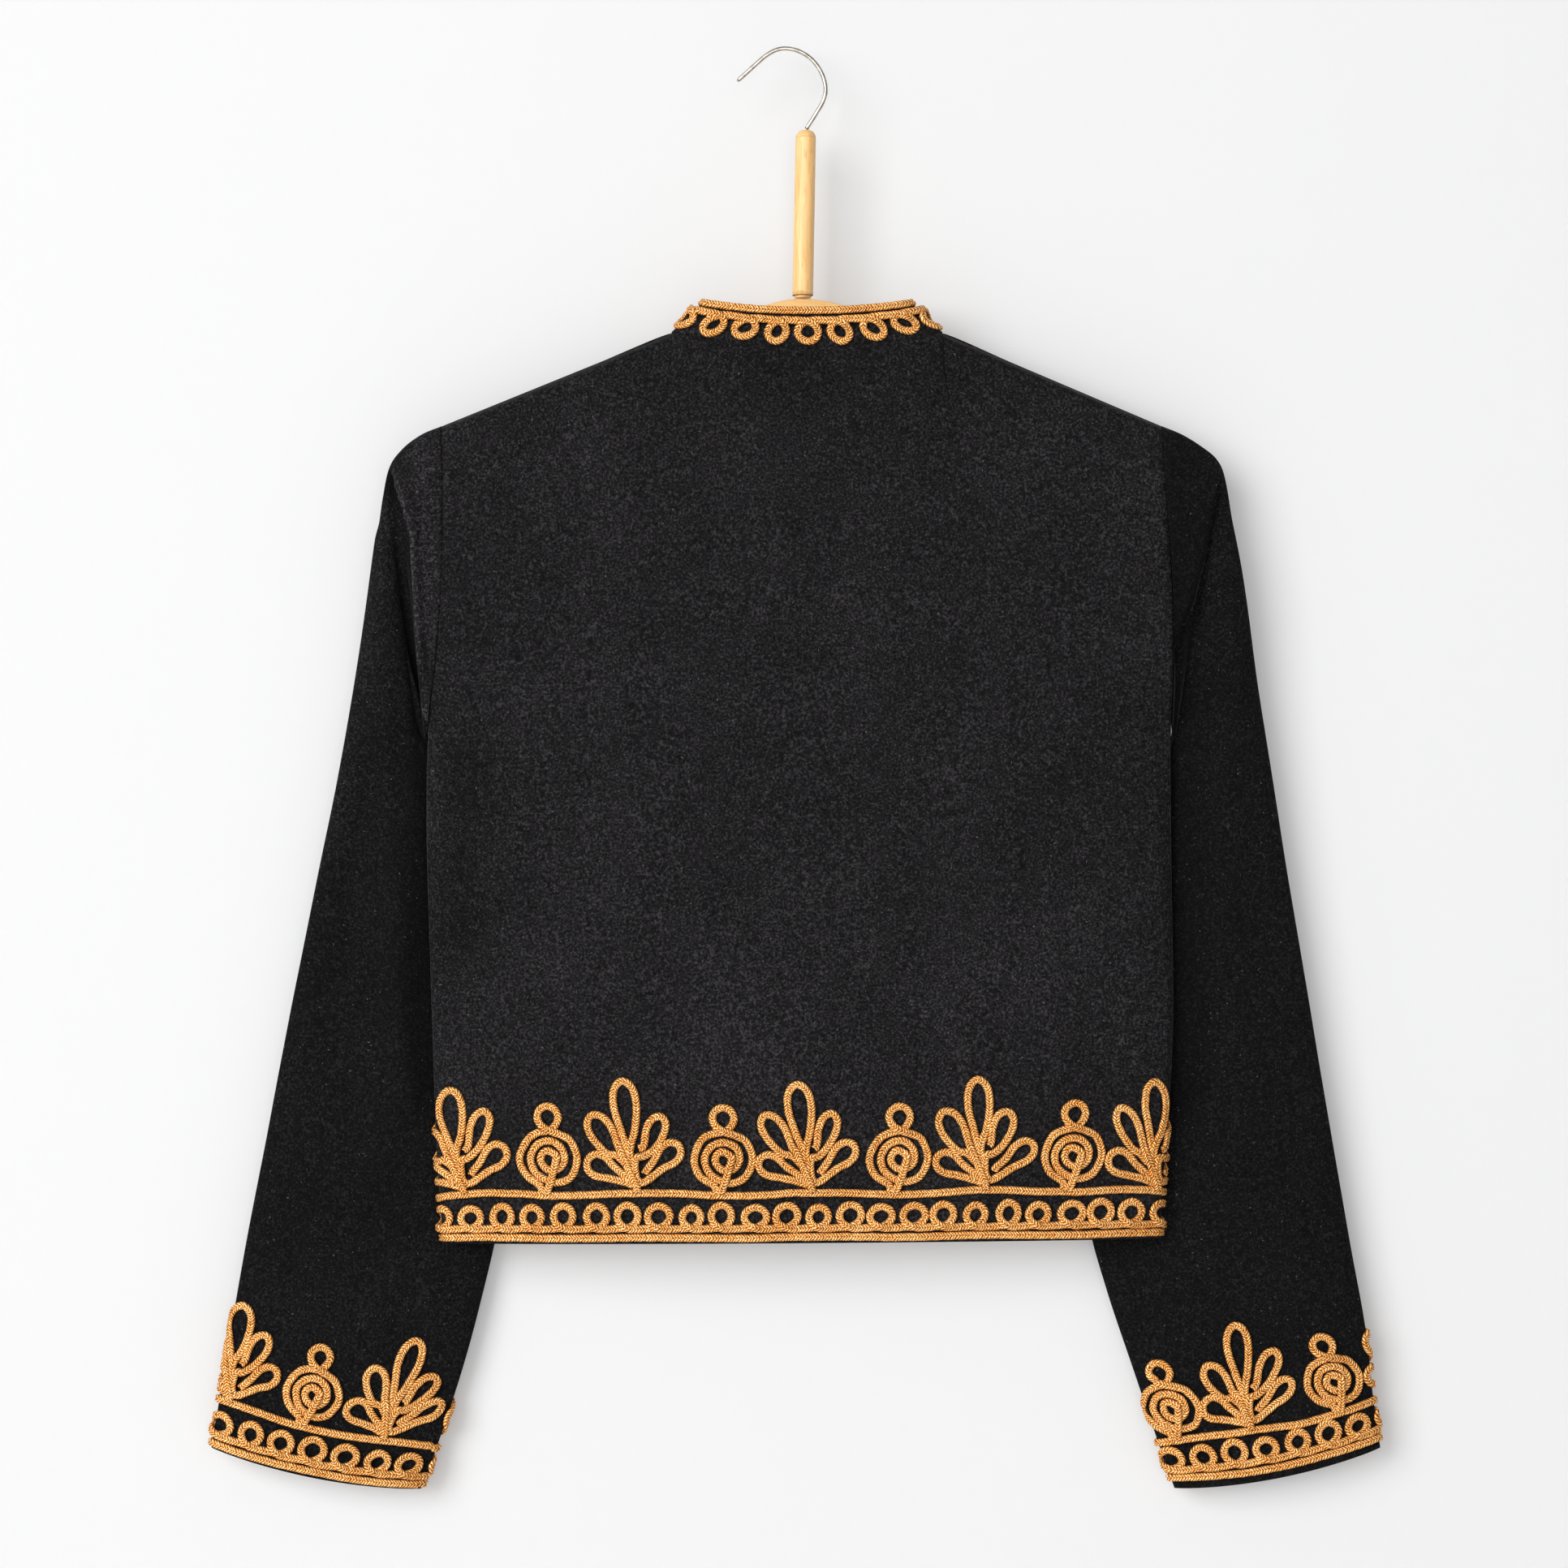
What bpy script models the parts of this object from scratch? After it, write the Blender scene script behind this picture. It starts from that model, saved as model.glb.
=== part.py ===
# A bolero jacket with couched cord trim, hung flat on a wooden hanger.
#
# +Z is up and the origin lies under the crown of the hanger's hook. The jacket's back
# faces -Y and its left sleeve lies towards -X. Sizes are in millimetres. "out" is
# measured sideways from the jacket's centre line and "drop" downwards from the origin.

import math

import bmesh
import bpy
import numpy as np

MM = 0.001
CENTRE_X = 11.5

# Cloth
WALL = 1.5
SEAM_GAP = 0.3
EDGE_Y = SEAM_GAP / 2
HALF_DEPTH = 18.5
CREST_RADIUS = 8.0
DEPTH_GROWS_OVER = 180.0

# Neck and shoulders
NECK_X = 3.0
NECK_HALF_WIDTH = 80.0
NECK_DROP = 167.0
BACK_NECK_DIP = 9.4
FRONT_NECK_DIP = 62.0
BACK_NECK_DEPTH = 14.0
FRONT_NECK_DEPTH = 20.0
# Where columns stand round a quarter of the neck, in degrees from its middle. They are
# closest at the shoulder, where the neckline turns over the hanger's bar.
NECK_ANGLES = (0.0, 24.0, 48.0, 68.0, 83.0, 90.0)
NECK_FULLNESS = 0.435
NECK_DEPTH_FADES_OVER = 190.0
NECK_DEPTH_SPREADS_OVER = 45.0
NECK_DEPTH_REACH = 165.0
SHOULDER_OUT = 212.5
SHOULDER_DROP = 222.0
FRONT_GAP = 6.0

# Body
ARMHOLE_DEPTH = 177.6
HEM_DROP = 703.4
HEM_TILT = -0.007
COLUMNS_IN_HALF = 8
NECK_COLUMNS = 5
ARMHOLE_ROWS = 10
LOWER_ROWS = 7
SIDE_FULLNESS = 0.65
OPENNESS_FADES_OVER = 310.0
COLUMNS_SPREAD_OVER = 0.6

# How far the side seams lie from the centre line, by drop: drop, left, right.
SIDE_SEAMS = (
    (222.0, 212.6, 212.5),
    (258.0, 211.7, 214.0),
    (306.0, 211.7, 217.5),
    (354.0, 214.6, 218.8),
    (399.6, 220.8, 218.0),
    (464.0, 223.5, 218.2),
    (503.0, 220.6, 218.6),
    (580.0, 218.5, 220.8),
    (623.0, 217.2, 217.4),
    (661.0, 215.5, 214.2),
    (705.0, 212.0, 211.8),
)

# Stand collar
COLLAR_TOP_HALF_WIDTH = 59.5
COLLAR_TOP_DROP = 148.4
COLLAR_BACK_DIP = 4.6
COLLAR_FRONT_DIP = 56.0
COLLAR_BACK_DEPTH = 12.5
COLLAR_FRONT_DEPTH = 17.0
COLLAR_COLUMNS = 4 * NECK_COLUMNS
COLLAR_SEAM_GAP = 0.45

# Sleeves from the armhole to the cuff. Each row is a ring round the sleeve: where its
# outer and inner edges lie (out, drop), how far behind the body each edge hangs, the
# ring's half depth, and how far its near layer is folded forwards or, below zero, in.
SLEEVE_LEFT = (
    (225.0, 227.0, 222.2, 404.0, 0.0, 4.0, 13.5, 0.5),
    (236.0, 235.0, 223.0, 412.5, 1.0, 9.0, 13.5, 3.0),
    (244.0, 246.0, 221.5, 425.0, 2.0, 13.0, 13.5, -6.0),
    (248.0, 264.0, 216.5, 443.0, 3.0, 17.0, 13.0, -2.5),
    (252.0, 291.5, 209.0, 464.0, 4.0, 20.5, 12.0, 0.0),
    (259.0, 332.0, 201.0, 491.0, 6.0, 22.0, 11.5, 0.0),
    (267.0, 383.0, 192.0, 522.0, 8.0, 22.5, 11.5, 0.0),
    (277.0, 438.0, 186.0, 553.0, 9.0, 22.5, 11.5, 0.0),
    (289.0, 495.5, 181.0, 584.0, 10.0, 22.0, 11.5, 0.0),
    (301.0, 555.5, 178.5, 618.0, 11.0, 22.0, 11.0, 0.0),
    (312.0, 611.0, 177.5, 655.5, 12.0, 22.0, 10.5, 0.0),
    (321.5, 661.0, 181.0, 695.0, 13.0, 22.0, 10.5, 0.0),
    (330.0, 704.5, 189.5, 734.0, 14.0, 21.0, 10.0, 0.0),
    (338.0, 750.0, 202.0, 782.0, 14.0, 19.5, 9.5, 0.0),
    (345.0, 792.0, 214.5, 821.0, 14.0, 18.5, 9.0, 0.0),
    (351.0, 828.0, 226.5, 853.0, 14.0, 17.5, 8.5, 0.0),
)
SLEEVE_RIGHT = (
    (225.0, 227.0, 219.6, 404.0, 0.0, 4.0, 13.5, 0.0),
    (236.5, 234.0, 220.5, 412.5, 1.0, 9.0, 13.5, 1.0),
    (246.0, 242.0, 218.5, 425.0, 2.0, 13.0, 13.5, -3.5),
    (251.0, 254.0, 213.0, 443.0, 3.0, 17.0, 13.0, -1.0),
    (256.0, 284.5, 205.5, 464.0, 4.0, 20.5, 12.0, 0.0),
    (263.0, 327.6, 197.0, 491.0, 6.0, 22.0, 11.5, 0.0),
    (271.0, 379.0, 188.0, 522.0, 8.0, 23.0, 11.5, 0.0),
    (280.0, 434.6, 180.0, 553.0, 9.0, 23.5, 11.5, 0.0),
    (289.5, 493.0, 174.5, 584.0, 10.0, 23.0, 11.5, 0.0),
    (299.5, 551.8, 171.0, 618.0, 11.0, 23.0, 11.0, 0.0),
    (309.0, 608.0, 169.5, 655.5, 12.0, 23.0, 10.5, 0.0),
    (318.0, 661.0, 171.4, 695.0, 13.0, 23.0, 10.5, 0.0),
    (326.4, 709.0, 181.5, 734.0, 14.0, 21.5, 10.0, 0.0),
    (335.0, 757.0, 196.8, 781.0, 14.0, 19.5, 9.5, 0.0),
    (339.5, 796.6, 210.7, 821.0, 14.0, 18.5, 9.0, 0.0),
    (344.0, 828.0, 221.8, 852.7, 14.0, 17.5, 8.5, 0.0),
)
CUFF_BULGE = 5.0
CUFF_BULGE_RINGS = 3

# Soft lengthwise folds in the near layer: the rings where one starts and ends, its
# place across the sleeve from outer to inner edge, its width and its height.
LENGTHWISE_FOLDS = {
    "left": ((5, 13, 0.50, 0.10, 3.0), (5, 12, 0.21, 0.09, -2.5)),
    "right": ((6, 13, 0.62, 0.10, 2.0),),
}

# Cord trim
CORD_WIDTH = 3.8
CORD_HEIGHT = 2.5
CORD_LIFT = 0.4
EDGE_CORD_HEIGHT = 2.9
LOOP_BASE_HEIGHT = 8.3
GUIDE_CORD_HEIGHT = 28.4
MOTIF_HEIGHT = 31.2
LOOP_PITCH = 18.7
LOOP_FOOT = 3.6
LOOP_HALF_WIDTH = 6.8
LOOP_SHOULDER = 6.8
LOOP_TOP = 13.4
LOOP_TOP_HALF = 3.6
SHARP_TURN = math.radians(5.0)
COLLAR_SHARP_TURN = math.radians(10.0)
BEND_SNAP = 0.1
HEM_MOTIF_SHIFT = 5.5
HEM_BACK_PITCH = 50.7
HEM_FRONT_PITCH = 47.6
HEM_BACK_STEPS = 4
HEM_PALMETTES = (-8, -6, -4, -2, 0, 2, 4, 6, 8)
HEM_SPIRALS = (-7, -5, -3, -1, 1, 3, 5, 7)
CUFF_MOTIF_TALL = 0.94
# Round each cuff: a motif's middle, its tilt to the right in degrees, and how wide it is.
CUFF_MOTIFS = {
    "left": (
        (31.5, 0.0, 0.87), (-12.5, 0.0, 0.87), (-58.0, 8.0, 0.87),
        (-98.9, 0.0, 0.86), (-141.4, 0.0, 0.86), (-184.0, 0.0, 0.86),
    ),
    "right": (
        (-49.0, 0.0, 0.87), (-9.4, 17.0, 0.87), (42.0, -8.0, 0.87),
        (81.6, 0.0, 0.84), (122.8, 0.0, 0.84), (164.0, 0.0, 0.84),
    ),
}
# How much higher the edge cord and loops, and the guide cord and motifs, lie than on the hem.
CUFF_BAND_RISE = {"left": (0.0, 0.0), "right": (3.2, 1.2)}
CUFF_FIRST_MOTIF = {"left": "palmette", "right": "spiral"}
COLLAR_EDGE_CORD = 20.6
COLLAR_LOOP_CORD = 16.2
COLLAR_LOOP_SCALE = 0.86

# A palmette's five petals: lean in degrees, length, width, height of its root.
PETALS = (
    (-60.0, 31.0, 9.2, 2.0),
    (-29.0, 42.0, 9.2, 6.0),
    (0.0, 58.0, 12.4, 6.0),
    (29.0, 42.0, 9.2, 6.0),
    (60.0, 31.0, 9.2, 2.0),
)
PETAL_SIDE = 0.68
PETAL_TIP = 0.95
PETAL_TIP_WIDTH = 0.6
# Where one petal's cord turns into the next, from the left foot to the right foot.
PETAL_VALLEYS = ((-2.4, 2.0), (-3.0, 9.5), (-2.6, 16.0), (2.6, 16.0), (3.0, 9.5), (2.4, 2.0))

# A spiral's coil, from its foot inwards: angle in degrees and radius. The crossing under
# its top loop lies between the fourth and the fifth row.
COIL = (
    (250.0, 16.3), (215.0, 16.6), (180.0, 16.8), (140.0, 16.5),
    (40.0, 16.5), (0.0, 16.8), (-40.0, 16.0), (-75.0, 13.8),
    (-115.0, 11.6), (-150.0, 10.8), (-190.0, 10.6), (-235.0, 10.4),
    (-280.0, 10.2), (-325.0, 10.0), (-370.0, 9.4), (-415.0, 7.6),
    (-460.0, 5.4), (-520.0, 4.6), (-590.0, 4.5), (-650.0, 4.2),
)
COIL_CENTRE_HEIGHT = 18.0
COIL_BEFORE_CROSSING = 4
CROSSING_HEIGHT = 34.0
TOP_LOOP = ((6.2, 38.5), (5.6, 45.3), (0.0, 48.4), (-5.6, 45.3), (-6.2, 38.5))

# Hanger
BAR_BELOW_CREST = 2.9
BAR_CENTRE_DROP = 146.6
BAR_HALF_LENGTH = 204.0
BAR_HEIGHT_CENTRE = 40.0
BAR_HEIGHT_END = 20.0
BAR_STATIONS = 16
# Half of the bar's section, top to bottom: half thickness, and depth below the top.
# Depths past the middle are counted up from the bottom edge instead.
BAR_SECTION_TOP = ((1.2, 0.0), (4.4, 2.4), (5.2, 5.0))
BAR_SECTION_BOTTOM = ((5.2, 4.0), (2.5, 0.0))
DOWEL_SIDES = 16
DOWEL_TOP_X = 2.4
DOWEL_FOOT_X = 0.5
# The dowel's turned outline: radius and drop.
DOWEL_OUTLINE = (
    (3.2, 47.4), (5.2, 48.8), (5.9, 51.4), (6.1, 143.0), (5.0, 144.0), (5.0, 146.2),
)
WIRE_RADIUS = 1.3
WIRE_SIDES = 6
WIRE_STEPS = 3
# The hook's centre line from the dowel to its tip: distance from the crown, and drop.
HOOK_ROUTE = (
    (14.1, 46.3), (19.4, 38.0), (24.0, 30.0), (25.6, 22.5), (23.4, 13.7),
    (17.8, 5.6), (9.6, 0.2), (0.0, -1.3), (-8.4, 2.0), (-17.6, 9.8), (-26.6, 18.0),
)


def smooth(value):
    value = min(1.0, max(0.0, value))
    return value * value * (3 - 2 * value)


def blend(start, end, share):
    return start + (end - start) * share


def world(point):
    """A point given as out, depth and drop, in the part's frame and in metres."""
    out, depth, drop = point
    return ((out + CENTRE_X) * MM, depth * MM, -drop * MM)


def make_material(name, colour, roughness, metallic=0.0):
    material = bpy.data.materials.new(name)
    material.use_nodes = True
    shader = material.node_tree.nodes["Principled BSDF"]
    shader.inputs["Base Color"].default_value = (*colour, 1.0)
    shader.inputs["Roughness"].default_value = roughness
    shader.inputs["Metallic"].default_value = metallic
    return material


def make_object(name, bm, material):
    bmesh.ops.recalc_face_normals(bm, faces=bm.faces)
    if bm.calc_volume(signed=True) < 0:
        bmesh.ops.reverse_faces(bm, faces=bm.faces)
    mesh = bpy.data.meshes.new(name)
    bm.to_mesh(mesh)
    bm.free()
    mesh.shade_smooth()
    mesh.set_sharp_from_angle(angle=math.radians(50))
    mesh.materials.append(material)
    piece = bpy.data.objects.new(name, mesh)
    bpy.context.scene.collection.objects.link(piece)
    return piece


# Body panels


def column_angle(column):
    return math.radians(90) * column / COLUMNS_IN_HALF


def neck_angle(column):
    return math.radians(NECK_ANGLES[min(column, NECK_COLUMNS)])


def neck_fullness(turn):
    """The share of the neck's depth at an angle: fuller than an ellipse, so that it clears the bar."""
    return abs(math.cos(turn)) ** NECK_FULLNESS


def row_share(row):
    """How far down a column a row lies, from 0 at its top to 1 at the hem."""
    armhole_share = ARMHOLE_DEPTH / (HEM_DROP - SHOULDER_DROP)
    if row <= ARMHOLE_ROWS:
        return armhole_share * (1 - math.cos(math.pi * row / ARMHOLE_ROWS)) / 2
    return blend(armhole_share, 1.0, (row - ARMHOLE_ROWS) / LOWER_ROWS)


def side_seam(drop, side):
    drops = [row[0] for row in SIDE_SEAMS]
    outs = [row[1 if side < 0 else 2] for row in SIDE_SEAMS]
    return float(np.interp(drop, drops, outs))


def top_of_column(column, layer):
    """The drop and the depth at a column's top."""
    turn = neck_angle(column)
    if layer == "back":
        dip = BACK_NECK_DIP * math.cos(turn) ** 2
        depth = BACK_NECK_DEPTH * neck_fullness(turn)
    else:
        dip = FRONT_NECK_DIP * math.cos(turn)
        depth = FRONT_NECK_DEPTH * neck_fullness(turn)
    along = max(0, column - NECK_COLUMNS) / (COLUMNS_IN_HALF - NECK_COLUMNS)
    drop = blend(NECK_DROP + dip, SHOULDER_DROP, along)
    return drop, depth if column < NECK_COLUMNS else 0.0


def wide_neck_depth(out, layer):
    """The neck's depth where it has spread to the shoulders, below the neckline."""
    full = BACK_NECK_DEPTH if layer == "back" else FRONT_NECK_DEPTH
    return full * (1 + math.cos(math.pi * min(1.0, abs(out - NECK_X) / NECK_DEPTH_REACH))) / 2


def column_out(column, side, share, edge_out):
    """How far out a column lies at a row: spread over the neck at its top, round the body below."""
    along = max(0, column - NECK_COLUMNS) / (COLUMNS_IN_HALF - NECK_COLUMNS)
    neck_out = side * NECK_X + NECK_HALF_WIDTH * math.sin(neck_angle(column))
    at_top = blend(neck_out, SHOULDER_OUT, along) / SHOULDER_OUT
    below = math.sin(column_angle(column))
    return side * edge_out * blend(at_top, below, smooth(share / COLUMNS_SPREAD_OVER))


def armhole_openness(row):
    """1 where back and front are apart at the armhole, falling to 0 where they meet below it."""
    if row >= ARMHOLE_ROWS:
        return 0.0
    share = row_share(row) / row_share(ARMHOLE_ROWS)
    return math.sqrt(1 - share**3)


def body_point(column, row, side, layer):
    """The outer and inner point of a body panel's wall at a column and row."""
    share = row_share(row)
    hem_at_side = HEM_DROP + HEM_TILT * side * SHOULDER_OUT
    edge_out = side_seam(blend(SHOULDER_DROP, hem_at_side, share), side)
    out = column_out(column, side, share, edge_out)
    if layer == "front" and column == 0:
        out += side * FRONT_GAP / 2
    top, neck_depth = top_of_column(column, layer)
    length = HEM_DROP + HEM_TILT * out - top
    below_top = share * length
    drop = top + below_top

    openness = armhole_openness(row)
    angle = column_angle(column)
    roundness = blend(SIDE_FULLNESS, 1.0, max(0, row - ARMHOLE_ROWS) / LOWER_ROWS)
    nearness = (column / COLUMNS_IN_HALF) ** 2
    wide_openness = 1 - smooth(below_top / OPENNESS_FADES_OVER)
    apart = blend(wide_openness, openness, nearness)
    closing = blend(abs(math.cos(angle)) ** roundness, 1.0, apart)
    crest = math.sqrt(1 - (1 - min(below_top, CREST_RADIUS) / CREST_RADIUS) ** 2)
    growth = (HALF_DEPTH - CREST_RADIUS) * smooth(below_top / DEPTH_GROWS_OVER)
    depth = closing * (CREST_RADIUS * crest + growth)
    inner_depth = closing * ((CREST_RADIUS - WALL) * crest + growth)
    inner_drop = drop + WALL * max(0.0, 1 - below_top / CREST_RADIUS)
    inner_out = out - side * WALL * math.sqrt(1 - openness**2) * math.sin(angle)
    thickness = depth - inner_depth
    neck_fade = 1 - smooth(below_top / NECK_DEPTH_FADES_OVER)
    spread = smooth(below_top / NECK_DEPTH_SPREADS_OVER)
    depth = math.hypot(depth, neck_fade * blend(neck_depth, wide_neck_depth(out, layer), spread))
    inner_depth = depth - thickness
    if column < NECK_COLUMNS:
        inner_drop = drop
        if row == 0:
            inner_depth = depth - WALL * math.cos(neck_angle(column))
            inner_out = out - side * WALL * math.sin(neck_angle(column))

    facing = -1 if layer == "back" else 1
    outer = (out, facing * max(depth, EDGE_Y), drop)
    inner = (inner_out, facing * max(inner_depth, EDGE_Y), inner_drop)
    return outer, inner


def panel_grids(columns, layer):
    """Outer and inner grids of a panel, a row of points for each row. Columns are (side, column)."""
    rows = range(ARMHOLE_ROWS + LOWER_ROWS + 1)
    both = [[body_point(column, row, side, layer) for side, column in columns] for row in rows]
    grid = np.array(both)
    return grid[:, :, 0], grid[:, :, 1]


def back_columns():
    left = [(-1, column) for column in range(COLUMNS_IN_HALF, 0, -1)]
    right = [(1, column) for column in range(COLUMNS_IN_HALF + 1)]
    return left + right


def front_columns(side):
    return [(side, column) for column in range(COLUMNS_IN_HALF + 1)]


def wall_mesh(outer, inner, closed):
    """A closed wall between two grids. A closed one is a tube, open at its first and last row."""
    bm = bmesh.new()
    rows, columns = outer.shape[:2]
    skins = []
    for grid in (outer, inner):
        skins.append([[bm.verts.new(world(point)) for point in row] for row in grid])
    spans = columns if closed else columns - 1
    for skin in skins:
        for row in range(rows - 1):
            for column in range(spans):
                after = (column + 1) % columns
                corners = (
                    skin[row][column], skin[row][after],
                    skin[row + 1][after], skin[row + 1][column],
                )
                bm.faces.new(corners if skin is skins[0] else corners[::-1])
    front, back = skins
    for row in (0, rows - 1):
        for column in range(spans):
            after = (column + 1) % columns
            bm.faces.new(
                (front[row][column], back[row][column], back[row][after], front[row][after])
            )
    if not closed:
        for column in (0, columns - 1):
            for row in range(rows - 1):
                bm.faces.new(
                    (
                        front[row][column], front[row + 1][column],
                        back[row + 1][column], back[row][column],
                    )
                )
    return bm


# Collar


def collar_point(angle, share):
    """The outer and inner point of the collar at an angle round the neck, 0 at the centre back."""
    forward = -math.cos(angle)
    back_depth = blend(BACK_NECK_DEPTH, COLLAR_BACK_DEPTH, share)
    front_depth = blend(FRONT_NECK_DEPTH, COLLAR_FRONT_DEPTH, share)
    half_width = blend(NECK_HALF_WIDTH, COLLAR_TOP_HALF_WIDTH, share)
    if forward < 0:
        depth = back_depth
        base = NECK_DROP + BACK_NECK_DIP * forward**2
        top = COLLAR_TOP_DROP + COLLAR_BACK_DIP * forward**2
    else:
        depth = front_depth
        base = NECK_DROP + FRONT_NECK_DIP * forward
        top = COLLAR_TOP_DROP + COLLAR_FRONT_DIP * forward
    drop = blend(base - COLLAR_SEAM_GAP, top, share)
    depth = math.copysign(depth * neck_fullness(angle), forward)
    outer = (NECK_X + half_width * math.sin(angle), depth, drop)
    inner = (NECK_X + (half_width - WALL) * math.sin(angle), depth - WALL * forward, drop)
    return outer, inner


def collar_grids():
    """Outer and inner grids of the collar from its base to its top."""
    to_shoulder = [math.radians(angle) for angle in NECK_ANGLES]
    to_front = [math.pi - angle for angle in to_shoulder[-2::-1]]
    half = to_shoulder + to_front
    angles = [-angle for angle in half[:0:-1]] + half
    grid = np.array([[collar_point(angle, share) for angle in angles] for share in (0.0, 0.5, 1.0)])
    grid[:, 0, :, 0] -= FRONT_GAP / 2
    grid[:, -1, :, 0] += FRONT_GAP / 2
    return grid[:, :, 0], grid[:, :, 1]


# Sleeves


def armhole_ring(back_outer, front_outer, side):
    """A sleeve's first ring, just outside the body's armhole edge: outer and inner points."""
    ring = []
    rows = list(range(ARMHOLE_ROWS + 1)) + list(range(ARMHOLE_ROWS - 1, 0, -1))
    for place, row in enumerate(rows):
        edge = back_outer[row] if place <= ARMHOLE_ROWS else front_outer[row]
        openness = armhole_openness(row)
        closing = math.sqrt(1 - openness**2)
        out = edge[0] + side * (SEAM_GAP + SEAM_GAP * closing)
        depth = edge[1] if 0 < row < ARMHOLE_ROWS else 0.0
        thickness = WALL * openness
        if row == 0:
            ring.append(((out, 0.0, edge[2]), (out, 0.0, edge[2] + WALL)))
            continue
        outer = (out, depth, edge[2] + WALL * closing)
        inner_depth = math.copysign(max(0.0, abs(depth) - thickness), depth)
        ring.append((outer, (out, inner_depth, edge[2])))
    return ring


def near_fold(side_name, ring, across):
    """How far the sleeve's near layer stands forward of its plain oval."""
    lift = 0.0
    for start, end, place, width, height in LENGTHWISE_FOLDS[side_name]:
        if start < ring < end:
            along = math.sin(math.pi * (ring - start) / (end - start))
            lift += height * along * math.exp(-(((across - place) / width) ** 2))
    return lift


def sleeve_ring(row, ring, side_name, side):
    """One ring of a sleeve: its near layer from outer to inner edge, then its far layer back."""
    outer_out, outer_drop, inner_out, inner_drop, outer_depth, inner_depth, half_depth, fold = row
    points = []
    chord = math.hypot(outer_out - inner_out, outer_drop - inner_drop)
    bulge = CUFF_BULGE * max(0.0, 1 - (len(SLEEVE_LEFT) - ring) / CUFF_BULGE_RINGS)
    for place in range(2 * ARMHOLE_ROWS):
        turn = math.pi * place / ARMHOLE_ROWS
        near = place < ARMHOLE_ROWS
        pair = []
        for inset in (0.0, WALL):
            across = 0.5 - (0.5 - inset / chord) * math.cos(turn)
            full_across = 0.5 - 0.5 * math.cos(turn)
            depth = blend(outer_depth, inner_depth, full_across)
            depth -= (half_depth - inset) * math.sin(turn)
            if near:
                window = math.sin(math.pi * full_across) ** 0.7
                depth -= fold * window + near_fold(side_name, ring, full_across)
            out = blend(outer_out, inner_out, across)
            drop = blend(outer_drop, inner_drop, across)
            drop += bulge * 4 * full_across * (1 - full_across)
            pair.append((side * out, depth, drop))
        points.append(tuple(pair))
    return points


def sleeve_grids(side_name, back_outer, front_outer):
    """Outer and inner grids of a sleeve from the armhole to the cuff."""
    side = -1 if side_name == "left" else 1
    table = SLEEVE_LEFT if side_name == "left" else SLEEVE_RIGHT
    rings = [armhole_ring(back_outer, front_outer, side)]
    for ring, row in enumerate(table, start=1):
        rings.append(sleeve_ring(row, ring, side_name, side))
    grid = np.array(rings)
    return grid[:, :, 0], grid[:, :, 1]


# Cord trim. It is laid out flat: s runs along an edge of the cloth, e up from that edge
# and h out from the cloth. A Surface then wraps it on the cloth's own points.


class Surface:
    """A strip of cloth on which trim lies, from rows of points that start at its edge."""

    def __init__(self, rows, middle_column):
        self.points = np.array(rows, dtype=float)
        edge = self.points[0]
        steps = np.linalg.norm(np.diff(edge, axis=0), axis=1)
        self.s_of_column = np.concatenate([[0.0], np.cumsum(steps)])
        self.s_of_column -= np.interp(middle_column, range(len(edge)), self.s_of_column)
        rise = self.points[:, int(middle_column)]
        rises = np.linalg.norm(np.diff(rise, axis=0), axis=1)
        self.e_of_row = np.concatenate([[0.0], np.cumsum(rises)])
        self.normals = self.find_normals()

    def find_normals(self):
        along = np.gradient(self.points, axis=1)
        first, last = self.points[:, 1] - self.points[:, 0], self.points[:, -1] - self.points[:, -2]
        steps = np.diff(self.points, axis=1)
        unit = steps / np.linalg.norm(steps, axis=2, keepdims=True)
        along[:, 1:-1] = unit[:, 1:] + unit[:, :-1]
        along[:, 0] = first
        along[:, -1] = last
        up = np.gradient(self.points, axis=0)
        normals = np.cross(along, -up)
        return normals / np.linalg.norm(normals, axis=2, keepdims=True)

    def bends(self, least_turn):
        """Where along s the edge turns by more than least_turn, so that trim can be bent there."""
        steps = np.diff(self.points[0], axis=0)
        unit = steps / np.linalg.norm(steps, axis=1, keepdims=True)
        turns = np.arccos(np.clip((unit[1:] * unit[:-1]).sum(axis=1), -1, 1))
        return [self.s_of_column[1:-1][i] for i in np.nonzero(turns > least_turn)[0]]

    def wrap(self, s, e, h):
        column = np.interp(s, self.s_of_column, range(len(self.s_of_column)))
        row = np.interp(e, self.e_of_row, range(len(self.e_of_row)))
        left = min(int(column), self.points.shape[1] - 2)
        low = min(int(row), self.points.shape[0] - 2)
        across, rise = column - left, row - low

        def mixed(grid):
            lower = blend(grid[low, left], grid[low, left + 1], across)
            upper = blend(grid[low + 1, left], grid[low + 1, left + 1], across)
            return blend(lower, upper, rise)

        normal = mixed(self.normals)
        return mixed(self.points) + normal / np.linalg.norm(normal) * h


def unit_towards(start, end):
    step = np.subtract(end, start)
    return step / np.linalg.norm(step)


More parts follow.
